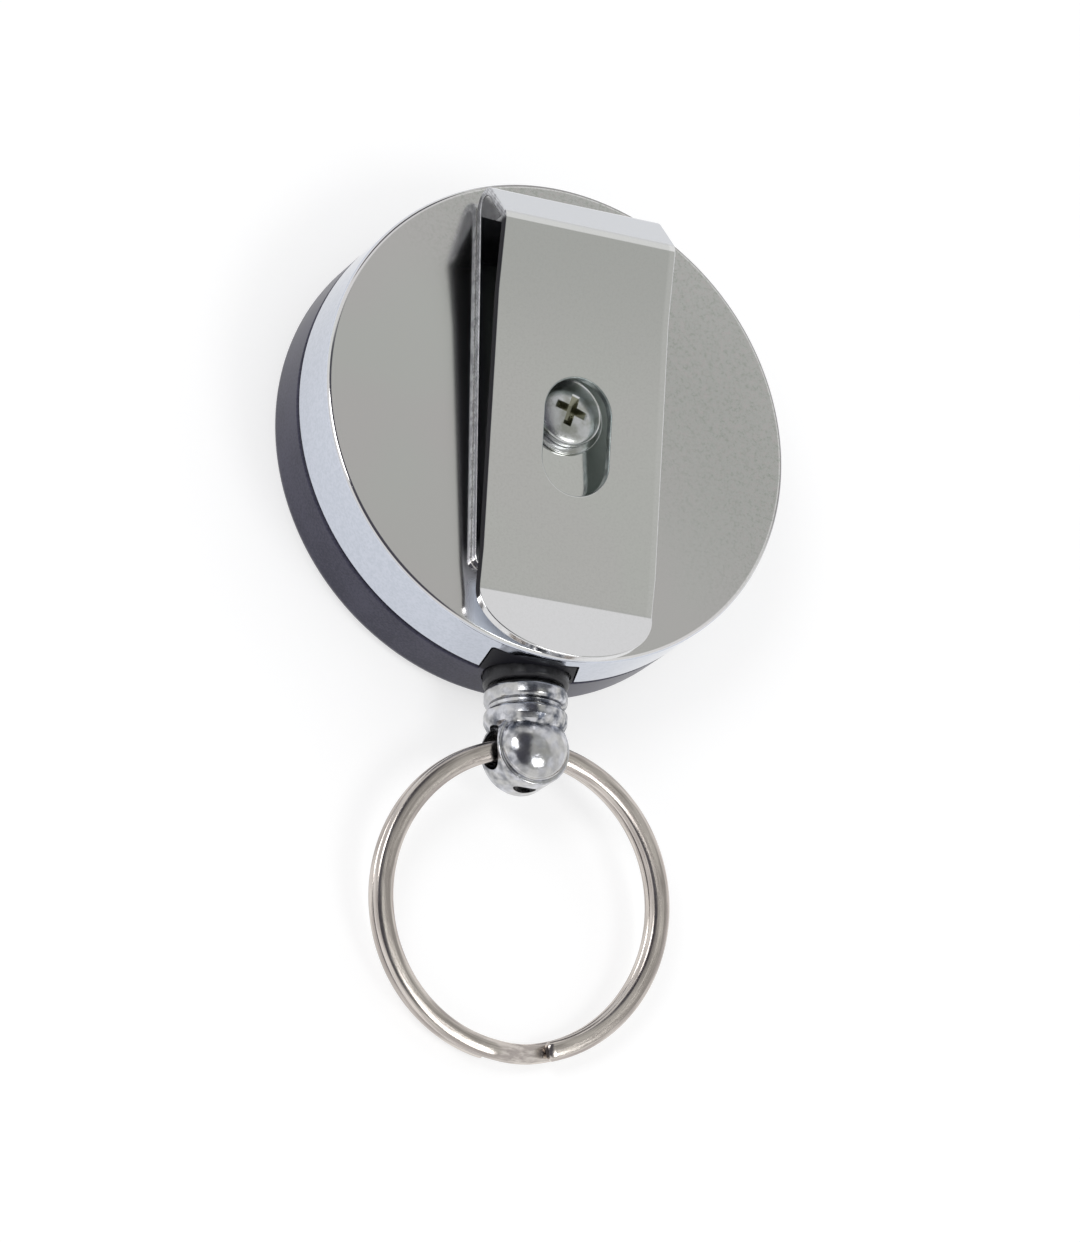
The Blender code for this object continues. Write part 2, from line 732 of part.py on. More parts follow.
collections = start_scene()
black_plastic = make_material("black_plastic", (0.035, 0.035, 0.042), 0.42, 0.0)
chrome = make_material("chrome", (0.75, 0.75, 0.77), 0.08, 1.0)
black_nylon = make_material("black_nylon", (0.02, 0.02, 0.022), 0.35, 0.0)
steel = make_material("steel", (0.45, 0.45, 0.46), 0.3, 1.0)
white_nylon = make_material("white_nylon", (0.75, 0.74, 0.7), 0.5, 0.0)
grey_plastic = make_material("grey_plastic", (0.25, 0.26, 0.27), 0.5, 0.0)
spring_steel = make_material("spring_steel", (0.25, 0.26, 0.3), 0.25, 1.0)
coated_wire = make_material("coated_wire", (0.1, 0.1, 0.11), 0.4, 0.3)
clip_chrome = make_material("clip_chrome", (0.7, 0.7, 0.7), 0.1, 1.0)
zinc = make_material("zinc", (0.6, 0.6, 0.56), 0.3, 1.0)
brass = make_material("brass", (0.7, 0.52, 0.25), 0.3, 1.0)
cast_chrome = make_material("cast_chrome", (0.72, 0.73, 0.76), 0.12, 1.0)
nickel = make_material("nickel", (0.6, 0.56, 0.51), 0.2, 1.0)

build_front_shell(black_plastic)
build_rear_cover(chrome)
build_mouth_bush(black_nylon)
build_centre_axle(steel)
build_washer("wear_washer", drum_bore_radius, wear_washer_radius, washer_thickness,
             shell_floor + seat_gap, white_nylon)
build_washer("top_washer", drum_bore_radius, top_washer_radius, washer_thickness,
             cap_top + seat_gap, white_nylon)
drum = build_drum(grey_plastic)
build_wire_anchor(drum, brass)
build_drum_cap(grey_plastic)
build_power_spring(spring_steel)
build_wire_core(coated_wire)
build_winding(coated_wire)
base_path, leaf_path = split_clip(clip_path())
build_clip_base(base_path, clip_chrome)
build_clip_leaf(leaf_path, clip_chrome)
build_washer("clip_washer", screw_hole_radius, clip_washer_radius, clip_washer_thickness,
             clip_top + seat_gap, zinc)
build_clip_screw(zinc)
build_end_fitting(cast_chrome)
build_cord_end(coated_wire, brass)
build_split_ring(nickel)
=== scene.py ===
"""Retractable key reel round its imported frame: case, belt clip, cord, eye and split ring."""

from math import acos, asin, atan2, copysign, cos, hypot, pi, radians, sin, tan

import bmesh
import bpy
from mathutils import Matrix, Vector


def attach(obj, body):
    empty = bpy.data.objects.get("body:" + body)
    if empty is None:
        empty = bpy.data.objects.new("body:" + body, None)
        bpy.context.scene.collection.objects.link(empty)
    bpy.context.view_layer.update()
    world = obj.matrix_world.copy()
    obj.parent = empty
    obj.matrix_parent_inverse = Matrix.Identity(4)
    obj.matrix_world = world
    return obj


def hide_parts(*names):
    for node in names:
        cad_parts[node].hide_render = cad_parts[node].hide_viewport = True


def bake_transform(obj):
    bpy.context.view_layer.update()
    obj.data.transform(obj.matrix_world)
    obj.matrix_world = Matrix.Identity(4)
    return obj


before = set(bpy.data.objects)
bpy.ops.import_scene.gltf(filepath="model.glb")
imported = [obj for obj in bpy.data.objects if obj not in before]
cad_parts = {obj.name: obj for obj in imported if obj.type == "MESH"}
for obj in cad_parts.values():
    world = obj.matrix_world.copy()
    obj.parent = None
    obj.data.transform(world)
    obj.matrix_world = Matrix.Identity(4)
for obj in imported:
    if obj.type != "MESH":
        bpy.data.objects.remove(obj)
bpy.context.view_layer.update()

# Camera
# A long lens about 450 mm away looks down at the reel from its lower left, at 56 degrees.
# The focal length and the aim are in pixels of the whole picture, which is 1242 high.
MM = 0.001
picture_height = 1242
focal_length = 5661
film_height = 36
aim = Vector((0, 0, 5.9)) * MM
aim_left, aim_up = 9, 179.7
camera_distance = 450 * MM
seen_right = Vector((0.89916, 0.01131, 0.43747))
seen_back = Vector((-0.40122, -0.37784, 0.83442))
seen_up = seen_back.cross(seen_right)
camera_data = bpy.data.cameras.new("camera")
camera_data.lens = focal_length / picture_height * film_height
camera_data.sensor_width = film_height
camera_data.clip_start, camera_data.clip_end = 10 * MM, 10
camera = bpy.data.objects.new("camera", camera_data)
bpy.context.collection.objects.link(camera)
bpy.context.scene.camera = camera
bpy.context.scene.view_settings.view_transform = "Standard"
back = (seen_back * focal_length - seen_right * aim_left + seen_up * aim_up).normalized()
right = (seen_right - back * seen_right.dot(back)).normalized()
turn = Matrix((right, back.cross(right), back)).transposed().to_4x4()
camera.matrix_world = Matrix.Translation(aim + seen_back * camera_distance) @ turn


# Studio
# A white tent with a grey ceiling, a dark gap between its panels and a dark opening for the
# camera. What the bright metal shows is this tent and the pale floor, and two soft round lamps.
class Wire:
    """A socket of a node tree. Arithmetic on it adds Math nodes, and node() adds any other."""

    def __init__(self, tree, socket=None):
        self.tree = tree
        self.socket = socket

    def node(self, kind, settings=(), sockets=(), out=0):
        made = self.tree.nodes.new("ShaderNode" + kind)
        for name, setting in dict(settings).items():
            setattr(made, name, setting)
        for name, value in dict(sockets).items():
            if isinstance(value, Wire):
                self.tree.links.new(value.socket, made.inputs[name])
            else:
                made.inputs[name].default_value = value
        return Wire(self.tree, made.outputs[out])

    def into(self, socket):
        self.tree.links.new(self.socket, socket)

    def maths(self, operation, first, second=0.0):
        return self.node("Math", {"operation": operation}, {0: first, 1: second})

    def __add__(self, other):
        return self.maths("ADD", self, other)

    def __sub__(self, other):
        return self.maths("SUBTRACT", self, other)

    def __rsub__(self, other):
        return self.maths("SUBTRACT", other, self)

    def __mul__(self, other):
        return self.maths("MULTIPLY", self, other)

    def __pow__(self, other):
        return self.maths("POWER", self, other)

    def __abs__(self):
        return self.maths("ABSOLUTE", self)

    __radd__ = __add__
    __rmul__ = __mul__

    def step(self, low, high):
        """0 below low, 1 above high, and smooth between."""
        return self.node("MapRange", {"interpolation_type": "SMOOTHSTEP"},
                         {"Value": self, "From Min": low, "From Max": high})

    def blend(self, first, second):
        """A colour: the first where this is 0, the second where it is 1."""
        return self.node("Mix", {"data_type": "RGBA"}, {0: self, 6: first, 7: second}, 2)

    def parts(self, axis):
        return self.node("SeparateXYZ", (), {0: self}, axis)


tent_white = (0.9, 0.9, 0.905, 1)
ceiling_grey = (0.52, 0.525, 0.51, 1)
opening_dark = (0.08, 0.08, 0.1, 1)
ceiling_middle = Vector((0.1, -0.1, 0.99)).normalized()
opening_middle = Vector((-0.3, -0.3, 0.9)).normalized()
world = bpy.data.worlds.new("studio_tent")
bpy.context.scene.world = world
world.use_nodes = True
tent = Wire(world.node_tree)
heading = tent.node("TexCoord", out="Generated")
to_ceiling = tent.node("VectorMath", {"operation": "DOT_PRODUCT"},
                       {0: heading, 1: ceiling_middle}, "Value")
to_opening = tent.node("VectorMath", {"operation": "DOT_PRODUCT"},
                       {0: heading, 1: opening_middle}, "Value")
sideways, backwards, upwards = [heading.parts(axis) for axis in range(3)]
gap_length = backwards.step(-0.3, -0.2) * (1 - backwards.step(0.45, 0.6))
gap_foot = backwards.step(0.78, 0.86)
gap_width = 1 - abs(sideways + 0.2).step(0.28, 0.36)
gap = gap_width * upwards.step(0.12, 0.2) * (gap_length + gap_foot)
lit = to_ceiling.step(0.775, 0.805).blend(tent_white, ceiling_grey)
lit = to_opening.step(0.9, 0.96).blend(lit, opening_dark)
lit = gap.blend(lit, opening_dark)
lit.into(world.node_tree.nodes["Background"].inputs["Color"])

lamp_distance = 600 * MM
lamps = {"lamp_left": ((-0.557, 0.129, 0.82), 230, 0.62),
         "lamp_right": ((0.317, -0.377, 0.868), 190, 0.5)}
for name, (towards, side, watts) in lamps.items():
    data = bpy.data.lights.new(name, "AREA")
    data.shape = "DISK"
    data.size = side * MM
    data.energy = watts
    lamp = bpy.data.objects.new(name, data)
    bpy.context.collection.objects.link(lamp)
    lamp.location = Vector(towards).normalized() * lamp_distance
    lamp.rotation_euler = Vector(towards).to_track_quat("Z", "Y").to_euler()


# Floor
# A smooth white table. It glows a little for the camera, and for what metal shows of it, so
# that it comes out white and still takes the reel's soft shadow.
def material_of(name):
    """A new material, its shader and the start of its node tree."""
    material = bpy.data.materials.new(name)
    material.use_nodes = True
    tree = material.node_tree
    return material, tree.nodes["Principled BSDF"].inputs, Wire(tree)


def lay_out(name, bm, material):
    """An object from a bmesh, shaded smooth but for its sharp edges."""
    mesh = bpy.data.meshes.new(name)
    bmesh.ops.recalc_face_normals(bm, faces=bm.faces)
    bm.to_mesh(mesh)
    bm.free()
    mesh.materials.append(material)
    thing = bpy.data.objects.new(name, mesh)
    bpy.context.collection.objects.link(thing)
    mesh.shade_smooth()
    mesh.set_sharp_from_angle(angle=sharp_angle)
    return thing


sharp_angle = radians(35)
floor_radius = 2.5
floor_drop = 0.05 * MM
floor_glow = 0.64
floor_grey = (0.45, 0.45, 0.45, 1)
black, white = (0, 0, 0, 1), (1, 1, 1, 1)
floor_paint, paint, net = material_of("table_white")
paint["Base Color"].default_value = floor_grey
paint["Roughness"].default_value = 0.6
paint["Specular IOR Level"].default_value = 0.2
paint["Emission Strength"].default_value = floor_glow
seen = (net.node("LightPath", out="Is Camera Ray") + net.node("LightPath", out="Is Glossy Ray")
        + net.node("LightPath", out="Is Transmission Ray"))
seen.step(0, 1).blend(black, white).into(paint["Emission Color"])
bm = bmesh.new()
bmesh.ops.create_circle(bm, cap_ends=True, segments=96, radius=floor_radius)
floor = lay_out("floor", bm, floor_paint)
floor.location.z = -floor_drop


# Front shell
# The front half of the case is a moulded black plastic tub. It lies on its flat face, carries
# the cover on a thin spigot, and has a gate under the mouth that fills the cover's notch.
def rounded(corners, steps=6):
    """An outline through corners (across, up, radius), each rounded by its own radius."""
    outline = []
    for i, (across, up, radius) in enumerate(corners):
        corner = Vector((across, up))
        if not radius:
            outline.append(corner)
            continue
        back = (Vector(corners[i - 1][:2]) - corner).normalized()
        ahead = (Vector(corners[(i + 1) % len(corners)][:2]) - corner).normalized()
        turn = pi - back.angle(ahead)
        middle = corner + (back + ahead).normalized() * (radius / cos(turn / 2))
        first = corner + back * radius * tan(turn / 2) - middle
        side = 1 if back.x * ahead.y - back.y * ahead.x < 0 else -1
        for k in range(steps + 1):
            a = side * turn * k / steps
            outline.append(middle + Vector((first.x * cos(a) - first.y * sin(a),
                                            first.x * sin(a) + first.y * cos(a))))
    return outline


def turned(outline, steps, closed=True):
    """An outline of (radius, height) turned about Z; an open one starts and ends on the axis."""
    bm = bmesh.new()
    rings = []
    for radius, height in outline:
        if radius < MM / 1000:
            rings.append([bm.verts.new((0, 0, height))] * steps)
            continue
        angles = [2 * pi * k / steps for k in range(steps)]
        rings.append([bm.verts.new((radius * cos(a), radius * sin(a), height)) for a in angles])
    following = rings[1:] + rings[:1] if closed else rings[1:]
    for ring, other in zip(rings, following):
        for k in range(steps):
            corners = list(dict.fromkeys((ring[k - 1], ring[k], other[k], other[k - 1])))
            if len(corners) > 2:
                bm.faces.new(corners)
    bmesh.ops.recalc_face_normals(bm, faces=bm.faces)
    return bm


def lofted(rings):
    """Rings of the same count of points, joined one to the next and closed at both ends."""
    bm = bmesh.new()
    made = [[bm.verts.new(point) for point in ring] for ring in rings]
    for ring, other in zip(made, made[1:]):
        for k in range(len(ring)):
            bm.faces.new((ring[k - 1], ring[k], other[k], other[k - 1]))
    bm.faces.new(made[0])
    bm.faces.new(made[-1])
    return bm


def drill(radius, start, end, steps=64):
    """A round bar between two points."""
    start, end = Vector(start), Vector(end)
    bm = bmesh.new()
    bmesh.ops.create_cone(bm, cap_ends=True, segments=steps, radius1=radius, radius2=radius,
                          depth=(end - start).length)
    turn = Vector((0, 0, 1)).rotation_difference(end - start).to_matrix().to_4x4()
    roll = Matrix.Rotation(pi / steps / 2, 4, "Z")
    bmesh.ops.transform(bm, matrix=Matrix.Translation((start + end) / 2) @ turn @ roll,
                        verts=bm.verts)
    return bm


def worked(thing, kind, **settings):
    """Put a modifier on a piece, and keep its result as the piece's own mesh."""
    modifier = thing.modifiers.new(kind, kind)
    for name, value in settings.items():
        setattr(modifier, name, value)
    graph = bpy.context.evaluated_depsgraph_get()
    mesh = bpy.data.meshes.new_from_object(thing.evaluated_get(graph))
    thing.modifiers.clear()
    thing.data = mesh


def cut(thing, bm, operation="DIFFERENCE"):
    """Cut a tool's shape out of a piece, or join or keep it by another operation."""
    tool = lay_out("tool", bm, thing.data.materials[0])
    worked(thing, "BOOLEAN", operation=operation, object=tool, solver="EXACT")
    bpy.data.objects.remove(tool)


def polished(thing):
    """Shade a finished piece so that flats stay flat up to their rounded edges."""
    thing.data.shade_smooth()
    thing.data.set_sharp_from_angle(angle=sharp_angle)
    modifier = thing.modifiers.new("flats", "WEIGHTED_NORMAL")
    modifier.keep_sharp = True
    return thing


def delivered(thing, body, slot, *nodes):
    """Fix a piece to its body and let it stand for its CAD nodes; its slot, the finish's name, is
    not used.
    """
    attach(thing, body)
    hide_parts(*nodes)


fine_steps = 192
case_radius = 20 * MM
front_height = 5.5 * MM
gate_top = 9.5 * MM
seat_gap = 0.06 * MM
press_fit = 0.15 * MM
cover_wall = 0.6 * MM
shell_inner = 18.5 * MM
shell_floor = 1.4 * MM
shell_edge, shell_corner, spigot_edge = 1.2 * MM, 0.8 * MM, 0.1 * MM
joint_edge, joint_gap = 0.3 * MM, 0.16 * MM
axle_pocket_radius, axle_pocket_floor = 4.75 * MM, 0.58 * MM
gate_half, gate_lean = 4 * MM, 1.5 * MM
gate_root, gate_low = shell_inner + cover_wall / 2, front_height - cover_wall
bush_barrel_radius = 2.5 * MM
bush_flange_radius = 3.4 * MM
bush_face_y = -20.8 * MM
bush_seat_y = -19.6 * MM
mouth = Vector((0, 0, front_height))
outside = mouth + Vector((0, -case_radius - MM, 0))
spigot_radius = case_radius - cover_wall - press_fit
shell_tones = (0.022, 0.021, 0.046, 1), (0.056, 0.054, 0.09, 1)
painted_shade_black = (0.005, 0.005, 0.009, 1)
black_plastic, paint, net = material_of("black_plastic")
where = net.node("TexCoord", out="Object")
grain = net.node("TexNoise", {}, {"Vector": where, "Scale": 5200.0, "Detail": 3.0})
cloud = net.node("TexNoise", {}, {"Vector": where, "Scale": 260.0, "Detail": 2.0})
tone = (cloud * 0.4 + grain * 0.6).step(0.36, 0.62).blend(*shell_tones)
# Painted shade: above the joint, on the shell's rounded edge and on the gate in the cover's notch,
# the plastic is painted near black and made rougher.
gate_and_joint_shade = where.parts(2).step(5.1 * MM, 5.5 * MM)
gate_and_joint_shade.blend(tone, painted_shade_black).into(paint["Base Color"])
paint["Specular IOR Level"].default_value = 0.25
(0.22 + 0.1 * cloud + 0.08 * grain + 0.25 * gate_and_joint_shade).into(paint["Roughness"])
net.node("Bump", (), {"Strength": 0.5, "Distance": 0.006 * MM, "Height": grain}
         ).into(paint["Normal"])
outline = rounded([
    (0, axle_pocket_floor, 0), (axle_pocket_radius, axle_pocket_floor, 0),
    (axle_pocket_radius, shell_floor, 0), (shell_inner, shell_floor, shell_corner),
    (shell_inner, gate_top, 0), (spigot_radius, gate_top, spigot_edge),
    (spigot_radius, front_height - joint_gap, 0),
    (case_radius, front_height - joint_gap, joint_edge),
    (case_radius, 0, shell_edge), (0, 0, 0)], 10)
front_shell = lay_out("front_shell", turned(outline, fine_steps, closed=False), black_plastic)
outline = rounded([(gate_root, gate_low, 0), (gate_root, gate_top, 0),
                   (case_radius, gate_top, joint_edge / 2), (case_radius, gate_low, 0)])
gate = lay_out("gate", turned(outline, fine_steps), black_plastic)


def gate_tool(grown, round_top):
    """A tool of the gate's outline, grown by a gap, whose sides lean left as they rise."""
    low, high = -gate_half - grown, gate_half + grown
    sides = rounded([(low, 0, 0), (high, 0, 0), (high, front_height, 0),
                     (high - gate_lean, gate_top + grown, round_top),
                     (low - gate_lean / 2, gate_top + grown, round_top), (low, front_height, 0)])
    return lofted([[Vector((x, y, z)) for x, z in sides] for y in (-case_radius - MM, 0)])


cut(gate, gate_tool(0, joint_edge), "INTERSECT")
worked(front_shell, "BOOLEAN", operation="UNION", object=gate, solver="EXACT")
bpy.data.objects.remove(gate)
cut(front_shell, drill(bush_barrel_radius + press_fit, outside,
                       mouth + Vector((0, MM - shell_inner, 0))))
cut(front_shell, drill(bush_flange_radius + press_fit, outside,
                       mouth + Vector((0, bush_seat_y + seat_gap, 0))))
polished(front_shell)
delivered(front_shell, "case", "black_plastic", "front_shell")


# Mouth bush
# A black nylon guide pressed into the gate. The cord runs out through its bore, whose edges
# are rolled so that they don't chafe it.
bush_barrel = 2 * MM
bush_depth = bush_seat_y - bush_face_y
bush_bore, bush_funnel = 0.6 * MM, 1.7 * MM
bore_roll, funnel_roll, flange_roll, barrel_roll = 0.3 * MM, 0.6 * MM, 0.35 * MM, 0.2 * MM
ring_groove, ring_groove_depth = (2.3 * MM, 2.45 * MM, 2.8 * MM, 2.95 * MM), 0.15 * MM
groove_edge = 0.1 * MM
bush_tones = (0.016, 0.016, 0.018, 1), (0.034, 0.034, 0.038, 1)
black_nylon, paint, net = material_of("black_nylon")
where = net.node("TexCoord", out="Object")
flow = net.node("TexNoise", {}, {"Vector": where, "Scale": 1400.0, "Detail": 4.0})
flow.step(0.35, 0.7).blend(*bush_tones).into(paint["Base Color"])
paint["Specular IOR Level"].default_value = 0.3
(0.2 + 0.2 * flow).into(paint["Roughness"])
net.node("Bump", (), {"Strength": 0.4, "Distance": 0.01 * MM, "Height": flow}).into(paint["Normal"])
outline = rounded([
    (bush_funnel, -bush_barrel, 0), (bush_bore, -bush_barrel / 2, funnel_roll),
    (bush_bore, bush_depth, bore_roll), (ring_groove[0], bush_depth, groove_edge),
    (ring_groove[1], bush_depth - ring_groove_depth, groove_edge),
    (ring_groove[2], bush_depth - ring_groove_depth, groove_edge),
    (ring_groove[3], bush_depth, groove_edge), (bush_flange_radius, bush_depth, flange_roll),
    (bush_flange_radius, 0, 0), (bush_barrel_radius, 0, 0),
    (bush_barrel_radius, -bush_barrel, barrel_roll)])
bm = turned(outline, 96)
towards_mouth = Matrix.Rotation(pi / 2, 4, "X")
bmesh.ops.transform(bm, matrix=Matrix.Translation((0, bush_seat_y, front_height)) @ towards_mouth,
                    verts=bm.verts)
mouth_bush = polished(lay_out("mouth_bush", bm, black_nylon))
delivered(mouth_bush, "case", "black_nylon", "mouth_bush")


# Rear cover
# The rear half is a cup pressed from thin steel and chromed bright. It is pushed over the
# shell's spigot, and its rim is notched round the gate.
case_height = 11 * MM
cover_low = front_height + seat_gap
screw_hole = 1.65 * MM
rear_edge, lower_edge, hole_edge = 0.42 * MM, 0.14 * MM, 0.05 * MM
inner_edge, inner_corner = 0.1 * MM, 0.3 * MM
near_tones, far_painted_shade_tone = ((0.705, 0.71, 0.695, 1), (0.71, 0.692, 0.69, 1)), (0.625, 0.63, 0.615, 1)
stain_tones = (0.44, 0.465, 0.425, 1), (0.6, 0.565, 0.56, 1)
wall_shade_tones = (0.53, 0.565, 0.635, 1), (0.585, 0.615, 0.69, 1)
painted_light_tone, rim_painted_reflection_tone = (0.66, 0.7, 0.77, 1), (0.25, 0.24, 0.24, 1)
chrome, paint, net = material_of("chrome")
where = net.node("TexCoord", out="Object")
facing = net.node("TexCoord", out="Normal").parts(2)
tint = net.node("TexNoise", {}, {"Vector": where, "Scale": 90.0, "Detail": 1.0})
speck = net.node("TexNoise", {}, {"Vector": where, "Scale": 4200.0, "Detail": 2.0})
stain = net.node("TexNoise", {}, {"Vector": where, "Scale": 1900.0, "Detail": 2.0})
across, up = where.parts(0), where.parts(1)
flat = facing.step(0.9, 0.99)
# The face is painted darker towards its upper right as painted shade, and only there is it worn.
far_shade_and_wear = (across + up).step(-6 * MM, 18 * MM)
worn = far_shade_and_wear * speck.step(0.35, 0.7)
# Under the left of the clip's lip the face is painted a light bluish grey and made less metallic:
# painted light.
painted_light_patch = (across.step(-8.2 * MM, -6.9 * MM) * (1 - across.step(-3 * MM, 0))
          * (0 - up).step(14.2 * MM, 15.4 * MM) * flat)
# The rounded rear edge on the upper right is painted dark: a painted reflection of dark
# surroundings.
rim = (facing.step(0.05, 0.2) * (1 - facing.step(0.9, 0.97))
       * (across + up).step(8 * MM, 16 * MM))
face = far_shade_and_wear.blend(tint.step(0.35, 0.65).blend(*near_tones), far_painted_shade_tone)
face = (worn * 0.8).blend(face, stain.step(0.35, 0.65).blend(*stain_tones))
face = rim.blend(painted_light_patch.blend(face, painted_light_tone), rim_painted_reflection_tone)
# The side wall gets a darker, bluer copy of the chrome than the face, as painted shade, with a
# mottle.
wall_shade_and_mottle = (stain * 0.4 + speck * 0.6).step(0.36, 0.62).blend(*wall_shade_tones)
facing.step(0.4, 0.75).blend(wall_shade_and_mottle, face).into(paint["Base Color"])
(1 - 0.8 * painted_light_patch).into(paint["Metallic"])
(0.06 + 0.06 * flat + 0.03 * tint + 0.06 * worn + 0.15 * painted_light_patch).into(paint["Roughness"])
net.node("Bump", (), {"Strength": 0.3, "Distance": 0.004 * MM, "Height": tint * 4 + speck * 0.1}
         ).into(paint["Normal"])
outline = rounded([
    (screw_hole, case_height, hole_edge), (case_radius, case_height, rear_edge),
    (case_radius, cover_low, lower_edge), (case_radius - cover_wall, cover_low, inner_edge),
    (case_radius - cover_wall, case_height - cover_wall, inner_corner),
    (screw_hole, case_height - cover_wall, 0)], 12)
rear_cover = lay_out("rear_cover", turned(outline, fine_steps), chrome)
cut(rear_cover, gate_tool(press_fit, joint_edge))
polished(rear_cover)
delivered(rear_cover, "case", "chrome", "rear_cover")


# Inside of the case
# An axle post in the floor carries a moulded spool between two nylon washers, and the spool
# holds the power spring. None of it shows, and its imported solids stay, in plain finishes.
def dress(node, name, dark, light, roughness, metal=0.0):
    """A plain clouded finish on a CAD node."""
    material, paint, net = material_of(name)
    where = net.node("TexCoord", out="Object")
    cloud = net.node("TexNoise", {}, {"Vector": where, "Scale": 1500.0, "Detail": 3.0})
    cloud.step(0.3, 0.7).blend((*dark, 1), (*light, 1)).into(paint["Base Color"])
    (roughness + 0.15 * cloud).into(paint["Roughness"])
    paint["Metallic"].default_value = metal
    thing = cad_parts[node]
    for material_slot in thing.material_slots:
        material_slot.material = material


dress("centre_axle", "turned_steel", (0.4, 0.4, 0.41), (0.5, 0.5, 0.51), 0.2, 1.0)
dress("wear_washer", "white_nylon", (0.7, 0.69, 0.65), (0.78, 0.77, 0.73), 0.4)
dress("top_washer", "white_nylon_top", (0.7, 0.69, 0.65), (0.78, 0.77, 0.73), 0.4)
dress("drum", "grey_plastic", (0.22, 0.23, 0.24), (0.27, 0.28, 0.29), 0.4)
dress("drum_cap", "grey_plastic_cap", (0.22, 0.23, 0.24), (0.27, 0.28, 0.29), 0.4)
dress("power_spring", "spring_steel", (0.2, 0.21, 0.25), (0.28, 0.29, 0.33), 0.18, 1.0)
dress("wire_anchor", "anchor_brass", (0.62, 0.45, 0.2), (0.74, 0.56, 0.28), 0.2, 1.0)
dress("wire_ferrule", "ferrule_brass", (0.62, 0.45, 0.2), (0.74, 0.56, 0.28), 0.2, 1.0)


# Steel cord
# A stranded steel cord with a dark nylon coat. It is wound on the drum in two layers, leaves
# it in a short bend, and runs through the bush. The stretch outside it, which grows as it is
# pulled, is drawn at one length.
def round_wire(points, radius, sides=16):
    """Rings of a round wire along points."""
    rings = []
    up = Vector((0, 0, 1))
    for i, point in enumerate(points):
        along = (points[min(i + 1, len(points) - 1)] - points[max(i - 1, 0)]).normalized()
        across = along.cross(up).normalized()
        over = across.cross(along)
        angles = [2 * pi * k / sides for k in range(sides)]
        rings.append([point + across * radius * cos(a) + over * radius * sin(a) for a in angles])
    return rings


cord_radius = 0.45 * MM
cord_bend = 2.2 * MM
turn_points = 96
hub_radius = 13.0 * MM
groove_low, groove_high = 2.92 * MM, 8.92 * MM
core_radius = hub_radius + 2 * cord_radius + seat_gap
winding_radius = core_radius + seat_gap + cord_radius
winding_turns = 2
pitch = (groove_high - seat_gap - cord_radius - front_height) / winding_turns
bush_inner_y = bush_seat_y + bush_barrel
lead_points, bend_points, tail_points = 8, 12, 60
coat_tones = (0.07, 0.07, 0.078, 1), (0.14, 0.14, 0.15, 1)
coated_wire, paint, net = material_of("coated_wire")
where = net.node("TexCoord", out="Object")
lay = net.node("TexWave", {"bands_direction": "DIAGONAL"},
               {"Vector": where, "Scale": 700.0, "Distortion": 0.4})
lay.step(0.2, 0.8).blend(*coat_tones).into(paint["Base Color"])
(0.3 + 0.15 * lay).into(paint["Roughness"])
paint["Metallic"].default_value = 0.3
paint["Coat Weight"].default_value = 0.5
net.node("Bump", (), {"Strength": 0.6, "Distance": 0.03 * MM, "Height": lay}).into(paint["Normal"])
bend_y = bush_inner_y + cord_bend / 3
leaves = -pi / 2 - acos(winding_radius / -bend_y)
helix = []
for i in range(winding_turns * turn_points + 1):
    left = winding_turns - i / turn_points
    a = leaves - 2 * pi * left
    helix.append(Vector((winding_radius * cos(a), winding_radius * sin(a),
                         front_height + pitch * left)))
winding = polished(lay_out("cord_winding", lofted(round_wire(helix, cord_radius)), coated_wire))
delivered(winding, "drum", "coated_wire", "wire_winding")
core_turns = 5
core_line = []
core_middle = core_radius - cord_radius
core_low = groove_low + seat_gap + cord_radius
core_rise = groove_high - seat_gap - cord_radius - core_low
for i in range(core_turns * turn_points + 1):
    share = i / core_turns / turn_points
    a = 2 * pi * core_turns * share
    core_line.append(Vector((core_middle * cos(a), core_middle * sin(a),
                             core_low + core_rise * share)))
core = lay_out("cord_inner_layer", lofted(round_wire(core_line, cord_radius)), coated_wire)
polished(core)
delivered(core, "drum", "coated_wire", "wire_core")
vertex = Vector((0, bend_y, front_height))
arriving = (vertex - helix[-1]).normalized()
leaving = Vector((0, -1, 0))
reach = cord_bend * tan(arriving.angle(leaving) / 2)
bend_start = vertex - arriving * reach
lead = [helix[-1] + (bend_start - helix[-1]) * i / lead_points for i in range(lead_points)]
lead += [vertex - arriving * reach * (1 - t) ** 2 + leaving * reach * t ** 2
         for t in [i / bend_points for i in range(bend_points + 1)]]
lead.append(Vector((0, bush_inner_y, front_height)))
cord_lead = polished(lay_out("cord_lead", lofted(round_wire(lead, cord_radius)), coated_wire))
delivered(cord_lead, "case", "coated_wire", "wire_winding")
tail_end_y = -23.8 * MM
collar_top_y = -20.95 * MM
tail_start_y = bush_inner_y - MM / 10
tail = [Vector((0, tail_start_y + (tail_end_y - bush_inner_y) * i / tail_points, front_height))
        for i in range(tail_points + 1)]
cord_tail = polished(lay_out("cord_tail", lofted(round_wire(tail, cord_radius)), coated_wire))
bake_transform(cord_tail)
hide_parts("wire_tail")


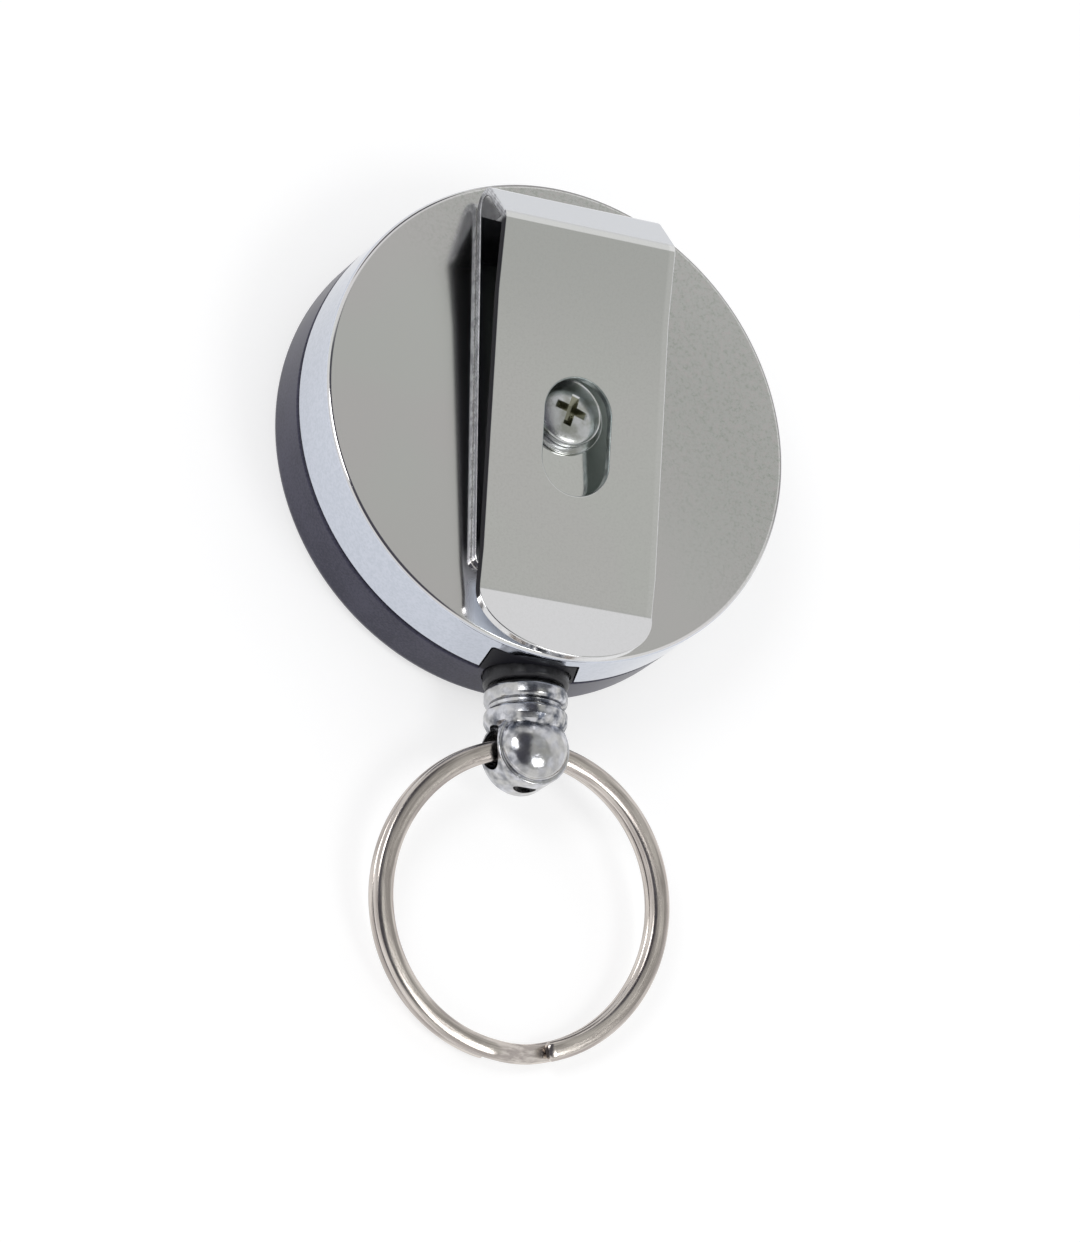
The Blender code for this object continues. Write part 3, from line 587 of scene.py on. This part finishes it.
# Belt clip
# One strip of spring steel, blanked flat with its two holes, plated, and bent to shape. Its
# base is screwed to the cover, and its leaf presses on the belt. The bend, which flexes on the
# real clip, is drawn fixed, and its hollow is filled by a web, a sheet whose front is painted
# near black as painted shade.
def bent_line(corners):
    """Straight and round runs of a line through corners: start, heading, length, curvature."""
    runs = []
    here = Vector(corners[0][:2])
    for corner, after in zip(corners[1:], corners[2:]):
        radius, corner_at = corner[2], Vector(corner[:2])
        back = (here - corner_at).normalized()
        ahead = (Vector(after[:2]) - corner_at).normalized()
        turn = pi - back.angle(ahead)
        reach = radius * tan(turn / 2)
        side = 1 if back.x * ahead.y - back.y * ahead.x < 0 else -1
        heading = atan2(-back.y, -back.x)
        first = corner_at + back * reach
        runs.append((here, heading, (first - here).length, 0))
        runs.append((first, heading, radius * turn, side / radius))
        here = corner_at + ahead * reach
    last = Vector(corners[-1][:2])
    runs.append((here, atan2(last.y - here.y, last.x - here.x), (last - here).length, 0))
    return runs


def on_line(runs, travel):
    """The point and heading at a length along the runs."""
    for here, heading, length, curvature in runs:
        if travel <= length or (here, heading, length, curvature) == runs[-1]:
            break
        travel -= length
    if not curvature:
        return here + Vector((cos(heading), sin(heading))) * travel, heading
    turned_to = heading + curvature * travel
    return here + Vector((sin(turned_to) - sin(heading), cos(heading) - cos(turned_to))
                         ) / curvature, turned_to


def travel_to(runs, across, low, high):
    """The length along the runs at which the line passes a place across, between two lengths."""
    for _ in range(50):
        middle = (low + high) / 2
        if on_line(runs, middle)[0].x > across:
            low = middle
        else:
            high = middle
    return low


def blank(loops, thickness, edge, steps=4):
    """A flat plate from loops of (point, outward direction), with rolled edges and normals."""
    bm = bmesh.new()
    normals = bm.verts.layers.float_vector.new("plate_normal")
    half = thickness / 2
    levels = [(-pi / 2 + pi / 2 * k / steps, edge - half) for k in range(steps + 1)]
    levels += [(pi / 2 * k / steps, half - edge) for k in range(steps + 1)]
    ends = {0: [], len(levels) - 1: []}
    for loop in loops:
        rows = []
        for angle, height in levels:
            row = []
            for point, outward in loop:
                at = Vector(point) + Vector(outward) * (edge * (cos(angle) - 1))
                vertex = bm.verts.new((at.x, at.y, height + edge * sin(angle)))
                vertex[normals] = (outward[0] * cos(angle), outward[1] * cos(angle), sin(angle))
                row.append(vertex)
            rows.append(row)
        for row, other in zip(rows, rows[1:]):
            for k in range(len(row)):
                bm.faces.new((row[k - 1], row[k], other[k], other[k - 1]))
        for level, edges in ends.items():
            row = rows[level]
            edges += [bm.edges.get((row[k - 1], row[k])) for k in range(len(row))]
    for edges in ends.values():
        bmesh.ops.triangle_fill(bm, use_beauty=True, use_dissolve=False, edges=edges)
    return bm


clip_width = 15 * MM
clip_thickness = 0.7 * MM
clip_edge = 0.12 * MM
clip_middle = case_height + seat_gap + clip_thickness / 2
clip_tip_y = -13.9 * MM
lip_end_y = -20.5 * MM
lip_start_y = -16.0 * MM
bend_radius = 1.25 * MM
bend_middle_y = 16.1 * MM
crest = Vector((14.05, 4.698)) * MM
crest_bow, leaf_bow, heel_bow, lip_bow = 0.9 * MM, 12 * MM, 5 * MM, 2.2 * MM
leaf_middle, heel = Vector((8.2, 3.5)) * MM, Vector((-12.8, 1.4)) * MM
lip_foot, lip_rise = Vector((-15.8, 0.8)) * MM, 1.4 * MM
over, beside = crest.y - bend_radius, crest.x - bend_middle_y
bend_turn = atan2(over, beside) + asin(bend_radius / hypot(over, beside))
clip_runs = bent_line([(y, clip_middle + z, bow) for y, z, bow in (
    (clip_tip_y, 0, 0),
    (bend_middle_y + bend_radius * tan(bend_turn / 2), 0, bend_radius),
    (*crest, crest_bow), (*leaf_middle, leaf_bow), (*heel, heel_bow), (*lip_foot, lip_bow),
    (lip_end_y, lip_rise, 0))])
clip_length = sum(run[2] for run in clip_runs)
crest_at = sum(run[2] for run in clip_runs[:4])
lip_at = travel_to(clip_runs, lip_start_y, crest_at, clip_length)
base_seam_y, past_bend = 15.2 * MM, 0.4 * MM
base_seam = base_seam_y - clip_tip_y
leaf_seam = clip_runs[0][2] + clip_runs[1][2] + past_bend


def loop_of(points, hole=False):
    """Points of a closed loop with their outward directions; the loop runs anticlockwise."""
    loop = []
    for k, point in enumerate(points):
        along = (Vector(points[(k + 1) % len(points)]) - Vector(points[k - 1])).normalized()
        outward = Vector((along.y, -along.x))
        loop.append((point, -outward if hole else outward))
    return loop


half_width = clip_width / 2
tip_round = 1.0 * MM
tip_side = half_width - tip_round
lip_depth = clip_length - lip_at
outer = [(tip_side + tip_round * sin(radians(a)), tip_round - tip_round * cos(radians(a)))
         for a in range(0, 91, 10)]
outer += [(half_width * cos(radians(a)), lip_at + lip_depth * sin(radians(a)))
          for a in range(0, 181, 3)]
outer += [(-tip_side - tip_round * cos(radians(a)), tip_round - tip_round * sin(radians(a)))
          for a in range(0, 91, 10)]
screw_at = -clip_tip_y
base_hole = [(screw_hole * cos(2 * pi * k / 64), screw_at + screw_hole * sin(2 * pi * k / 64))
             for k in range(64)]
slot_half = 2.85 * MM
slot_length, slot_middle = 9.5 * MM, -2.6 * MM
slot_back, slot_front = slot_middle + slot_length / 2, slot_middle - slot_length / 2
slot_low = travel_to(clip_runs, slot_back, crest_at, clip_length) + slot_half
slot_high = travel_to(clip_runs, slot_front, crest_at, clip_length) - slot_half
slot = [(slot_half * cos(radians(a)), slot_high + slot_half * sin(radians(a)))
        for a in range(0, 181, 5)]
slot += [(-slot_half * cos(radians(a)), slot_low - slot_half * sin(radians(a)))
         for a in range(0, 181, 5)]
clip_blank = blank([loop_of(outer), loop_of(base_hole, True), loop_of(slot, True)],
                   clip_thickness, clip_edge)
stations = {base_seam, leaf_seam}
travel = 0
for here, heading, length, curvature in clip_runs:
    stations.add(travel)
    if curvature:
        count = max(4, round(abs(length * curvature) / radians(4)))
        stations |= {travel + length * k / count for k in range(1, count)}
    travel += length
for station in sorted(stations):
    if 0 < station < clip_length:
        everything = clip_blank.verts[:] + clip_blank.edges[:] + clip_blank.faces[:]
        bmesh.ops.bisect_plane(clip_blank, geom=everything, dist=MM / 100000,
                               plane_co=(0, station, 0), plane_no=(0, 1, 0))

leaf_tones, back_painted_shade_tone = ((0.775, 0.78, 0.76, 1), (0.78, 0.77, 0.762, 1)), (0.69, 0.695, 0.68, 1)
right_painted_highlight_tone, lip_painted_shade_tone = (0.85, 0.85, 0.84, 1), (0.705, 0.705, 0.71, 1)
fold_painted_shade_tone, speck_tone = (0.56, 0.575, 0.605, 1), (0.6, 0.6, 0.59, 1)
shadow_tone, under_painted_light_tone = (0.012, 0.012, 0.016, 1), (0.86, 0.89, 0.95, 1)
sheared_tones = (0.24, 0.24, 0.26, 1), (0.62, 0.63, 0.65, 1)
punched_tones = (0.2, 0.235, 0.235, 1), (0.3, 0.33, 0.32, 1)
underside_shade_tones, web_shade_tone = ((0.1, 0.1, 0.12, 1), (0.42, 0.47, 0.46, 1)), (0.03, 0.03, 0.035, 1)
clip_chrome, paint, net = material_of("clip_chrome")
where = net.node("TexCoord", out="Object")
tint = net.node("TexNoise", {}, {"Vector": where, "Scale": 130.0, "Detail": 1.0})
speck = net.node("TexNoise", {}, {"Vector": where, "Scale": 5200.0, "Detail": 2.0})
smear = net.node("TexNoise", {}, {"Vector": where, "Scale": 2200.0, "Detail": 3.0})
hatch = net.node("TexWave", {"bands_direction": "DIAGONAL"},
                 {"Vector": where, "Scale": 2100.0, "Distortion": 1.5})
across, along, height = [where.parts(axis) for axis in range(3)]
facing = net.node("TexCoord", out="Normal")
leaf = height.step(11.79 * MM, 11.84 * MM)
sheared = abs(across).step(7.42 * MM, 7.46 * MM)
shadowed = ((0 - across).step(7.395 * MM, 7.43 * MM) * leaf
            * (1 - along.step(13.6 * MM, 14.3 * MM)))
past_slot = abs(along - slot_middle) - (slot_length / 2 - slot_half)
past_slot = past_slot.maths("MAXIMUM", past_slot, 0.0)
from_slot = (across ** 2 + past_slot ** 2) ** 0.5
punched = leaf * (1 - from_slot.step(slot_half + clip_edge * 0.6, slot_half + clip_edge))
# The leaf's underside is painted dark on the left and grey-green on the right, and made rougher:
# painted shade.
underside_shade = (0 - facing.parts(2)).step(0.3, 0.6) * leaf
# Under the lip the leaf is painted near white and not metallic: painted light.
lip_under_painted_light = underside_shade * (0 - along).step(11 * MM, 14 * MM)
# The web's front, towards the hollow of the bend, is painted near black: painted shade.
web_front_shade = (0 - facing.parts(1)).step(0.3, 0.6) * along.step(13 * MM, 13.5 * MM)
# On the base's side edges the upper half over the front is darker: the dull break zone of the
# shear, and painted shade of the gap.
break_zone_and_shade = height.step(11.42 * MM, 11.56 * MM) * (0 - along).step(-6 * MM, 6 * MM) * (1 - leaf)
mottle = (hatch * 0.4 + smear.step(0.38, 0.62) * 0.6) * (1 - 0.8 * break_zone_and_shade)
# The strip is painted darker towards the bend: painted shade.
face = along.step(-2 * MM, 13 * MM).blend(tint.step(0.35, 0.65).blend(*leaf_tones), back_painted_shade_tone)
# A lighter band along the leaf's right edge is a painted highlight.
face = (across.step(6.8 * MM, 7.1 * MM) * leaf * 0.6).blend(face, right_painted_highlight_tone)
# The lip at the leaf's front is painted a little darker than the leaf: painted shade.
face = (0 - along).step(15.7 * MM, 16.1 * MM).blend(face, lip_painted_shade_tone)
# What faces back, such as the fold's facet, is painted a darker, bluer grey: painted shade.
face = facing.parts(1).step(0.3, 0.7).blend(face, fold_painted_shade_tone)
face = (speck.step(0.4, 0.7) * 0.15).blend(face, speck_tone)
face = sheared.blend(face, mottle.blend(*sheared_tones))
face = shadowed.blend(face, shadow_tone)
face = punched.blend(face, smear.step(0.3, 0.7).blend(*punched_tones))
face = underside_shade.blend(face, across.step(-6.5 * MM, -4 * MM).blend(*underside_shade_tones))
face = web_front_shade.blend(face, web_shade_tone)
lip_under_painted_light.blend(face, under_painted_light_tone).into(paint["Base Color"])
(1 - lip_under_painted_light - 0.8 * shadowed).into(paint["Metallic"])
(0.08 + 0.04 * tint + 0.25 * sheared + 0.45 * shadowed + 0.2 * punched + 0.3 * underside_shade
 ).into(paint["Roughness"])
net.node("Bump", (), {"Strength": 0.3, "Distance": 0.004 * MM, "Height": tint * 4 + speck * 0.1}
         ).into(paint["Normal"])


def clip_part(name, low, high):
    """The stretch of the blank between two lengths, closed at its cuts and bent to shape."""
    bm = clip_blank.copy()
    gone = [f for f in bm.faces if not low < f.calc_center_median().y < high]
    bmesh.ops.delete(bm, geom=gone, context="FACES")
    edges = [e for e in bm.edges if e.is_boundary]
    if edges:
        bmesh.ops.holes_fill(bm, edges=edges, sides=0)
    layer = bm.verts.layers.float_vector["plate_normal"]
    normals = []
    for vertex in bm.verts:
        at, heading = on_line(clip_runs, vertex.co.y)
        flat = vertex[layer].normalized()
        along, across = Vector((cos(heading), sin(heading))), Vector((-sin(heading), cos(heading)))
        place = at + across * vertex.co.z
        vertex.co = (vertex.co.x, place.x, place.y)
        shaped = along * flat.y + across * flat.z
        normals.append((flat.x, shaped.x, shaped.y))
    bmesh.ops.recalc_face_normals(bm, faces=bm.faces)
    thing = lay_out(name, bm, clip_chrome)
    thing.data.normals_split_custom_set_from_vertices(normals)
    return thing


clip_base = clip_part("clip_base", 0, base_seam)
delivered(clip_base, "case", "clip_chrome", "clip_base")
clip_bend = clip_part("clip_bend", base_seam, leaf_seam)
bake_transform(clip_bend)
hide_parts("clip_base", "clip_leaf")
web_low, web_high, web_points = 29.55 * MM, crest_at + 0.1 * MM, 30
web_depth, web_side = clip_thickness / 2 - clip_edge / 4, half_width - clip_edge / 2
web_inside = []
for k in range(web_points + 1):
    at, heading = on_line(clip_runs, web_low + (web_high - web_low) * k / web_points)
    web_inside.append(at + Vector((-sin(heading), cos(heading))) * web_depth)
bm = lofted([[Vector((x, y, z)) for y, z in web_inside] for x in (-web_side, web_side)])
clip_web = lay_out("clip_web", bm, clip_chrome)
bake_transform(clip_web)
clip_leaf = clip_part("clip_leaf_strip", leaf_seam, clip_length)
delivered(clip_leaf, "clip_leaf", "clip_chrome", "clip_leaf")


# Clip's washer and screw
# A thin washer and a low pan head screw, both zinc plated and passivated, hold the clip's base
# and the cover to the axle. The driver reaches the cross recess through the leaf's slot.
washer_radius = 3.25 * MM
washer_thickness = 0.25 * MM
washer_low = case_height + seat_gap + clip_thickness + seat_gap
screw_seat = washer_low + washer_thickness + seat_gap
head_radius = 2.75 * MM
head_height = 1.1 * MM
head_dome = 0.45 * MM
head_top = screw_seat + head_height
brim, brim_edge, head_edge = head_top - head_dome, 0.12 * MM, 0.1 * MM
screw_radius = 1.5 * MM
thread_end, point_end, point_tip = 5.3 * MM, 4.6 * MM, 4.55 * MM
recess_long, recess_wide, recess_depth = 1.45 * MM, 0.35 * MM, 0.7 * MM
recess_turn, recess_taper = radians(-17), 0.45
washer_edge, washer_roll = 0.05 * MM, 0.08 * MM
zinc_tones, recess_shade_tone = ((0.42, 0.43, 0.4, 1), (0.64, 0.65, 0.66, 1)), (0.26, 0.26, 0.2, 1)
zinc, paint, net = material_of("zinc")
where = net.node("TexCoord", out="Object")
bloom = net.node("TexNoise", {}, {"Vector": where, "Scale": 900.0, "Detail": 3.0})
pit = net.node("TexNoise", {}, {"Vector": where, "Scale": 6000.0, "Detail": 2.0})
off_axis = (where.parts(0) ** 2 + where.parts(1) ** 2) ** 0.5
# The cross recess is painted a dark olive: painted shade.
recess_shade = ((head_top - where.parts(2)).step(0.13 * MM, 0.2 * MM)
             * (1 - off_axis.step(recess_long, 1.6 * MM)))
tone = bloom.step(0.35, 0.65).blend(*zinc_tones)
recess_shade.blend(tone, recess_shade_tone).into(paint["Base Color"])
paint["Metallic"].default_value = 1
(0.18 + 0.12 * bloom).into(paint["Roughness"])
net.node("Bump", (), {"Strength": 0.5, "Distance": 0.02 * MM, "Height": bloom + 0.4 * pit}
         ).into(paint["Normal"])
washer_top = washer_low + washer_thickness
outline = rounded([
    (screw_hole, washer_top, washer_edge), (washer_radius, washer_top, washer_roll),
    (washer_radius, washer_low, washer_edge), (screw_hole, washer_low, 0)], 4)
washer = polished(lay_out("clip_washer_ring", turned(outline, 96), zinc))
delivered(washer, "case", "zinc", "clip_washer")
crown_radius = head_radius * 0.985
crown = [(crown_radius * sin(radians(a)), brim + head_dome * cos(radians(a)))
         for a in range(0, 80, 6)]
lower = rounded([
    (*crown.pop(), 0), (head_radius, brim, brim_edge), (head_radius, screw_seat, head_edge),
    (screw_radius, screw_seat, 0), (screw_radius, thread_end, 0),
    (screw_radius / 2, point_end, 0), (0, point_tip, 0)], 4)
screw = lay_out("clip_screw_head", turned([*crown, *lower], 96, closed=False), zinc)
cross = [(recess_long, -recess_wide), (recess_long, recess_wide), (recess_wide, recess_wide),
         (recess_wide, recess_long), (-recess_wide, recess_long), (-recess_wide, recess_wide),
         (-recess_long, recess_wide), (-recess_long, -recess_wide), (-recess_wide, -recess_wide),
         (-recess_wide, -recess_long), (recess_wide, -recess_long), (recess_wide, -recess_wide)]
turn = Matrix.Rotation(recess_turn, 3, "Z")
cut(screw, lofted([[turn @ Vector((x * share, y * share, z)) for x, y in cross]
                   for share, z in ((recess_taper, head_top - recess_depth), (1, head_top),
                                    (1, head_top + MM))]))
polished(screw)
delivered(screw, "case", "zinc", "clip_screw")


# End fitting
# One zinc casting, polished and plated: a ribbed collar that stops at the bush, and a domed
# eye below it. The cord's ferrule is held inside the collar, and the ring passes the eye.
collar_radius = 3.3 * MM
collar_rib = 1.45 * MM
collar_groove = 0.35 * MM
collar_inner = 2.85 * MM
neck_radius = 2.45 * MM
collar_length = 2 * collar_rib + collar_groove
collar_taper = 0.6 * MM
eye_radius, dome_radius = 3.1 * MM, 2.8 * MM
eye_band, band_edge = 1.65 * MM, 0.14 * MM
eye_dome = 1.4 * MM
eye_y = collar_top_y - 5.1 * MM
cord_hole, ferrule_hole = 0.53 * MM, 1.23 * MM
ferrule_top_y = collar_top_y - 1.1 * MM
foot_hole_width, foot_hole_depth = 1.9 * MM, 1.3 * MM
past_eye = 5 * MM
plate_tones = (0.63, 0.635, 0.67, 1), (0.56, 0.555, 0.545, 1)
tarnish_and_shade_tone = (0.1, 0.11, 0.135, 1)
cast_chrome, paint, net = material_of("cast_chrome")
where = net.node("TexCoord", out="Object")
wave = net.node("TexNoise", {}, {"Vector": where, "Scale": 950.0, "Detail": 1.5})
stain = net.node("TexNoise", {}, {"Vector": where, "Scale": 1300.0, "Detail": 2.0})
pit = net.node("TexNoise", {}, {"Vector": where, "Scale": 5000.0, "Detail": 2.0})
# Dark tarnish in random blots, made heavier on the collar's right, the eye's left and most at the
# neck: partly real tarnish, partly painted shade and painted reflection.
on_eye = (0 - where.parts(1)).step(24.3 * MM, 24.9 * MM)
on_left = 1 - where.parts(0).step(-2.4 * MM, -0.4 * MM)
neck_shade = 1 - abs(where.parts(1) + 24.4 * MM).step(0.3 * MM, 1 * MM)
tarnish_and_shade_amount = (1 - on_eye) * (1 - 0.6 * on_left) + on_eye * (0.3 + 0.5 * on_left) + 0.5 * neck_shade
tarnish_and_shade = stain.step(0.32, 0.72) * tarnish_and_shade_amount
tarnish_and_shade = tarnish_and_shade.maths("MINIMUM", tarnish_and_shade, 1.0)
tone = wave.step(0.35, 0.65).blend(*plate_tones)
tarnish_and_shade.blend(tone, tarnish_and_shade_tone).into(paint["Base Color"])
paint["Metallic"].default_value = 1
(0.1 + 0.08 * wave + 0.15 * tarnish_and_shade).into(paint["Roughness"])
net.node("Bump", (), {"Strength": 0.8, "Distance": 0.06 * MM,
                      "Height": wave + 0.3 * stain + 0.05 * pit}).into(paint["Normal"])
rib_edge, rib_corner = 0.45 * MM, 0.1 * MM
outline = rounded([
    (0, collar_length + collar_taper, 0), (neck_radius, collar_length + collar_taper, 0),
    (collar_radius - rib_edge / 2, collar_length, rib_edge / 3),
    (collar_radius, collar_length - rib_edge, rib_edge),
    (collar_radius, collar_length - collar_rib, rib_edge),
    (collar_inner, collar_length - collar_rib, rib_corner), (collar_inner, collar_rib, rib_corner),
    (collar_radius, collar_rib, rib_edge), (collar_radius, 0, rib_edge), (0, 0, 0)], 8)
bm = turned(outline, 96, closed=False)
bmesh.ops.transform(bm, matrix=Matrix.Translation((0, collar_top_y, front_height)) @ towards_mouth,
                    verts=bm.verts)
fitting = lay_out("eye_fitting", bm, cast_chrome)
upper = [(dome_radius * sin(radians(a)), eye_band + eye_dome * cos(radians(a)))
         for a in range(0, 90, 6)]
upper += rounded([(dome_radius, eye_band, 0), (eye_radius, eye_band, band_edge),
                  (eye_radius, 0, 0)], 4)[:-1]
outline = upper + [(radius, -height) for radius, height in reversed(upper)]
bm = turned(outline, 96, closed=False)
eye_middle = Vector((0, eye_y, front_height))
bmesh.ops.translate(bm, vec=eye_middle, verts=bm.verts)
cut(fitting, bm, "UNION")
slot_round = 1.45 * MM
slot_reach = 0.3 * MM
around = [(slot_reach + slot_round * cos(radians(a)), slot_round * sin(radians(a)))
          for a in range(-90, 91, 6)]
around += [(-y, -z) for y, z in around]
cut(fitting, lofted([[eye_middle + Vector((x, y, z)) for y, z in around]
                     for x in (-past_eye, past_eye)]))
cut(fitting, drill(cord_hole, (0, collar_top_y + MM, front_height), eye_middle, 32))
cut(fitting, drill(ferrule_hole, (0, ferrule_top_y, front_height), eye_middle, 48))
oval = [(foot_hole_width / 2 * cos(2 * pi * k / 40), foot_hole_depth / 2 * sin(2 * pi * k / 40))
        for k in range(40)]
cut(fitting, lofted([[Vector((x, y, front_height + z)) for x, z in oval]
                     for y in (eye_y, eye_y - past_eye)]))
polished(fitting)
delivered(fitting, "fitting", "cast_chrome", "end_fitting")


# Split ring
# One flattened steel wire coiled in two turns that lie side by side, nickel plated. It hangs
# in the eye and leans down to the table, with its crossing slope and open ends at the foot.
ring_outer, ring_inner = 12.64 * MM, 11.05 * MM
ring_depth, ring_gap = 0.85 * MM, 0.1 * MM
ring_slope = radians(24)
ring_steps = 240
hang_turn = radians(4)
ring_lift = 0.1 * MM
end_roll, end_share = 0.22 * MM, 0.72
ring_middle = (ring_outer + ring_inner) / 2
ring_hang = ring_middle - eye_radius ** 2 / ring_middle / 4
ring_half = ring_depth + ring_gap / 2
ring_reach = ring_hang + ring_outer
lean = (asin((front_height - ring_lift) / hypot(ring_reach, ring_half))
        - atan2(ring_half, ring_reach))
hang = (Matrix.Translation((0, eye_y, front_height)) @ Matrix.Rotation(lean, 4, "X")
        @ Matrix.Rotation(hang_turn, 4, "Z") @ Matrix.Translation((0, -ring_hang, 0)))
nickel_tones, score_tone = ((0.43, 0.39, 0.365, 1), (0.67, 0.62, 0.575, 1)), (0.3, 0.27, 0.25, 1)
nickel, paint, net = material_of("nickel")
where = net.node("TexCoord", out="Object")
lying = net.node("Mapping", {"vector_type": "TEXTURE"}, {
    "Vector": where, "Location": tuple(hang.to_translation()), "Rotation": tuple(hang.to_euler())})
across, up = lying.parts(0), lying.parts(1)
angle = across.maths("ARCTAN2", across, 0 - up)
drawn_out = 16
along_wire = net.node("CombineXYZ", (), {
    "X": (across ** 2 + up ** 2) ** 0.5, "Y": angle * (ring_middle / drawn_out),
    "Z": lying.parts(2)})
streak = net.node("TexNoise", {}, {"Vector": along_wire, "Scale": 2600.0, "Detail": 2.0})
score = net.node("TexNoise", {}, {"Vector": along_wire, "Scale": 6000.0, "Detail": 2.0})
spark = net.node("TexNoise", {}, {"Vector": where, "Scale": 4000.0, "Detail": 2.0})
tone = streak.step(0.36, 0.62).blend(*nickel_tones)
(score.step(0.5, 0.75) * 0.5).blend(tone, score_tone).into(paint["Base Color"])
paint["Metallic"].default_value = 1
(0.15 + 0.1 * spark).into(paint["Roughness"])
net.node("Bump", (), {"Strength": 0.5, "Distance": 0.03 * MM,
                      "Height": streak + 0.3 * score + 0.05 * spark}).into(paint["Normal"])
section = []
section_points, squareness = 32, 0.7
section_half = (ring_outer - ring_inner) / 2
for k in range(section_points):
    a = 2 * pi * k / section_points
    section.append(Vector((
        ring_middle + section_half * copysign(abs(cos(a)) ** squareness, cos(a)),
        ring_depth / 2 * copysign(abs(sin(a)) ** squareness, sin(a)))))
span = 4 * pi - ring_slope
rings = []
for i in range(2 * ring_steps + 1):
    a = ring_slope / 2 + span * i / ring_steps / 2
    crossed = min(max((a - 2 * pi) / ring_slope + 0.5, 0), 1)
    z = (ring_depth + ring_gap) / 2 * (1 - 2 * crossed * crossed * (3 - 2 * crossed))
    rings.append([hang @ Vector((p.x * sin(a), -p.x * cos(a), z + p.y)) for p in section])
for first, second in ((0, 1), (-1, -2)):
    middle = sum(rings[first], Vector()) / section_points
    inset = (sum(rings[second], Vector()) / section_points - middle).normalized() * end_roll
    rings[second] = [point + inset for point in rings[first]]
    rings[first] = [middle + (point - middle) * end_share for point in rings[first]]
split_ring = polished(lay_out("key_ring", lofted(rings), nickel))
delivered(split_ring, "ring", "nickel", "split_ring")
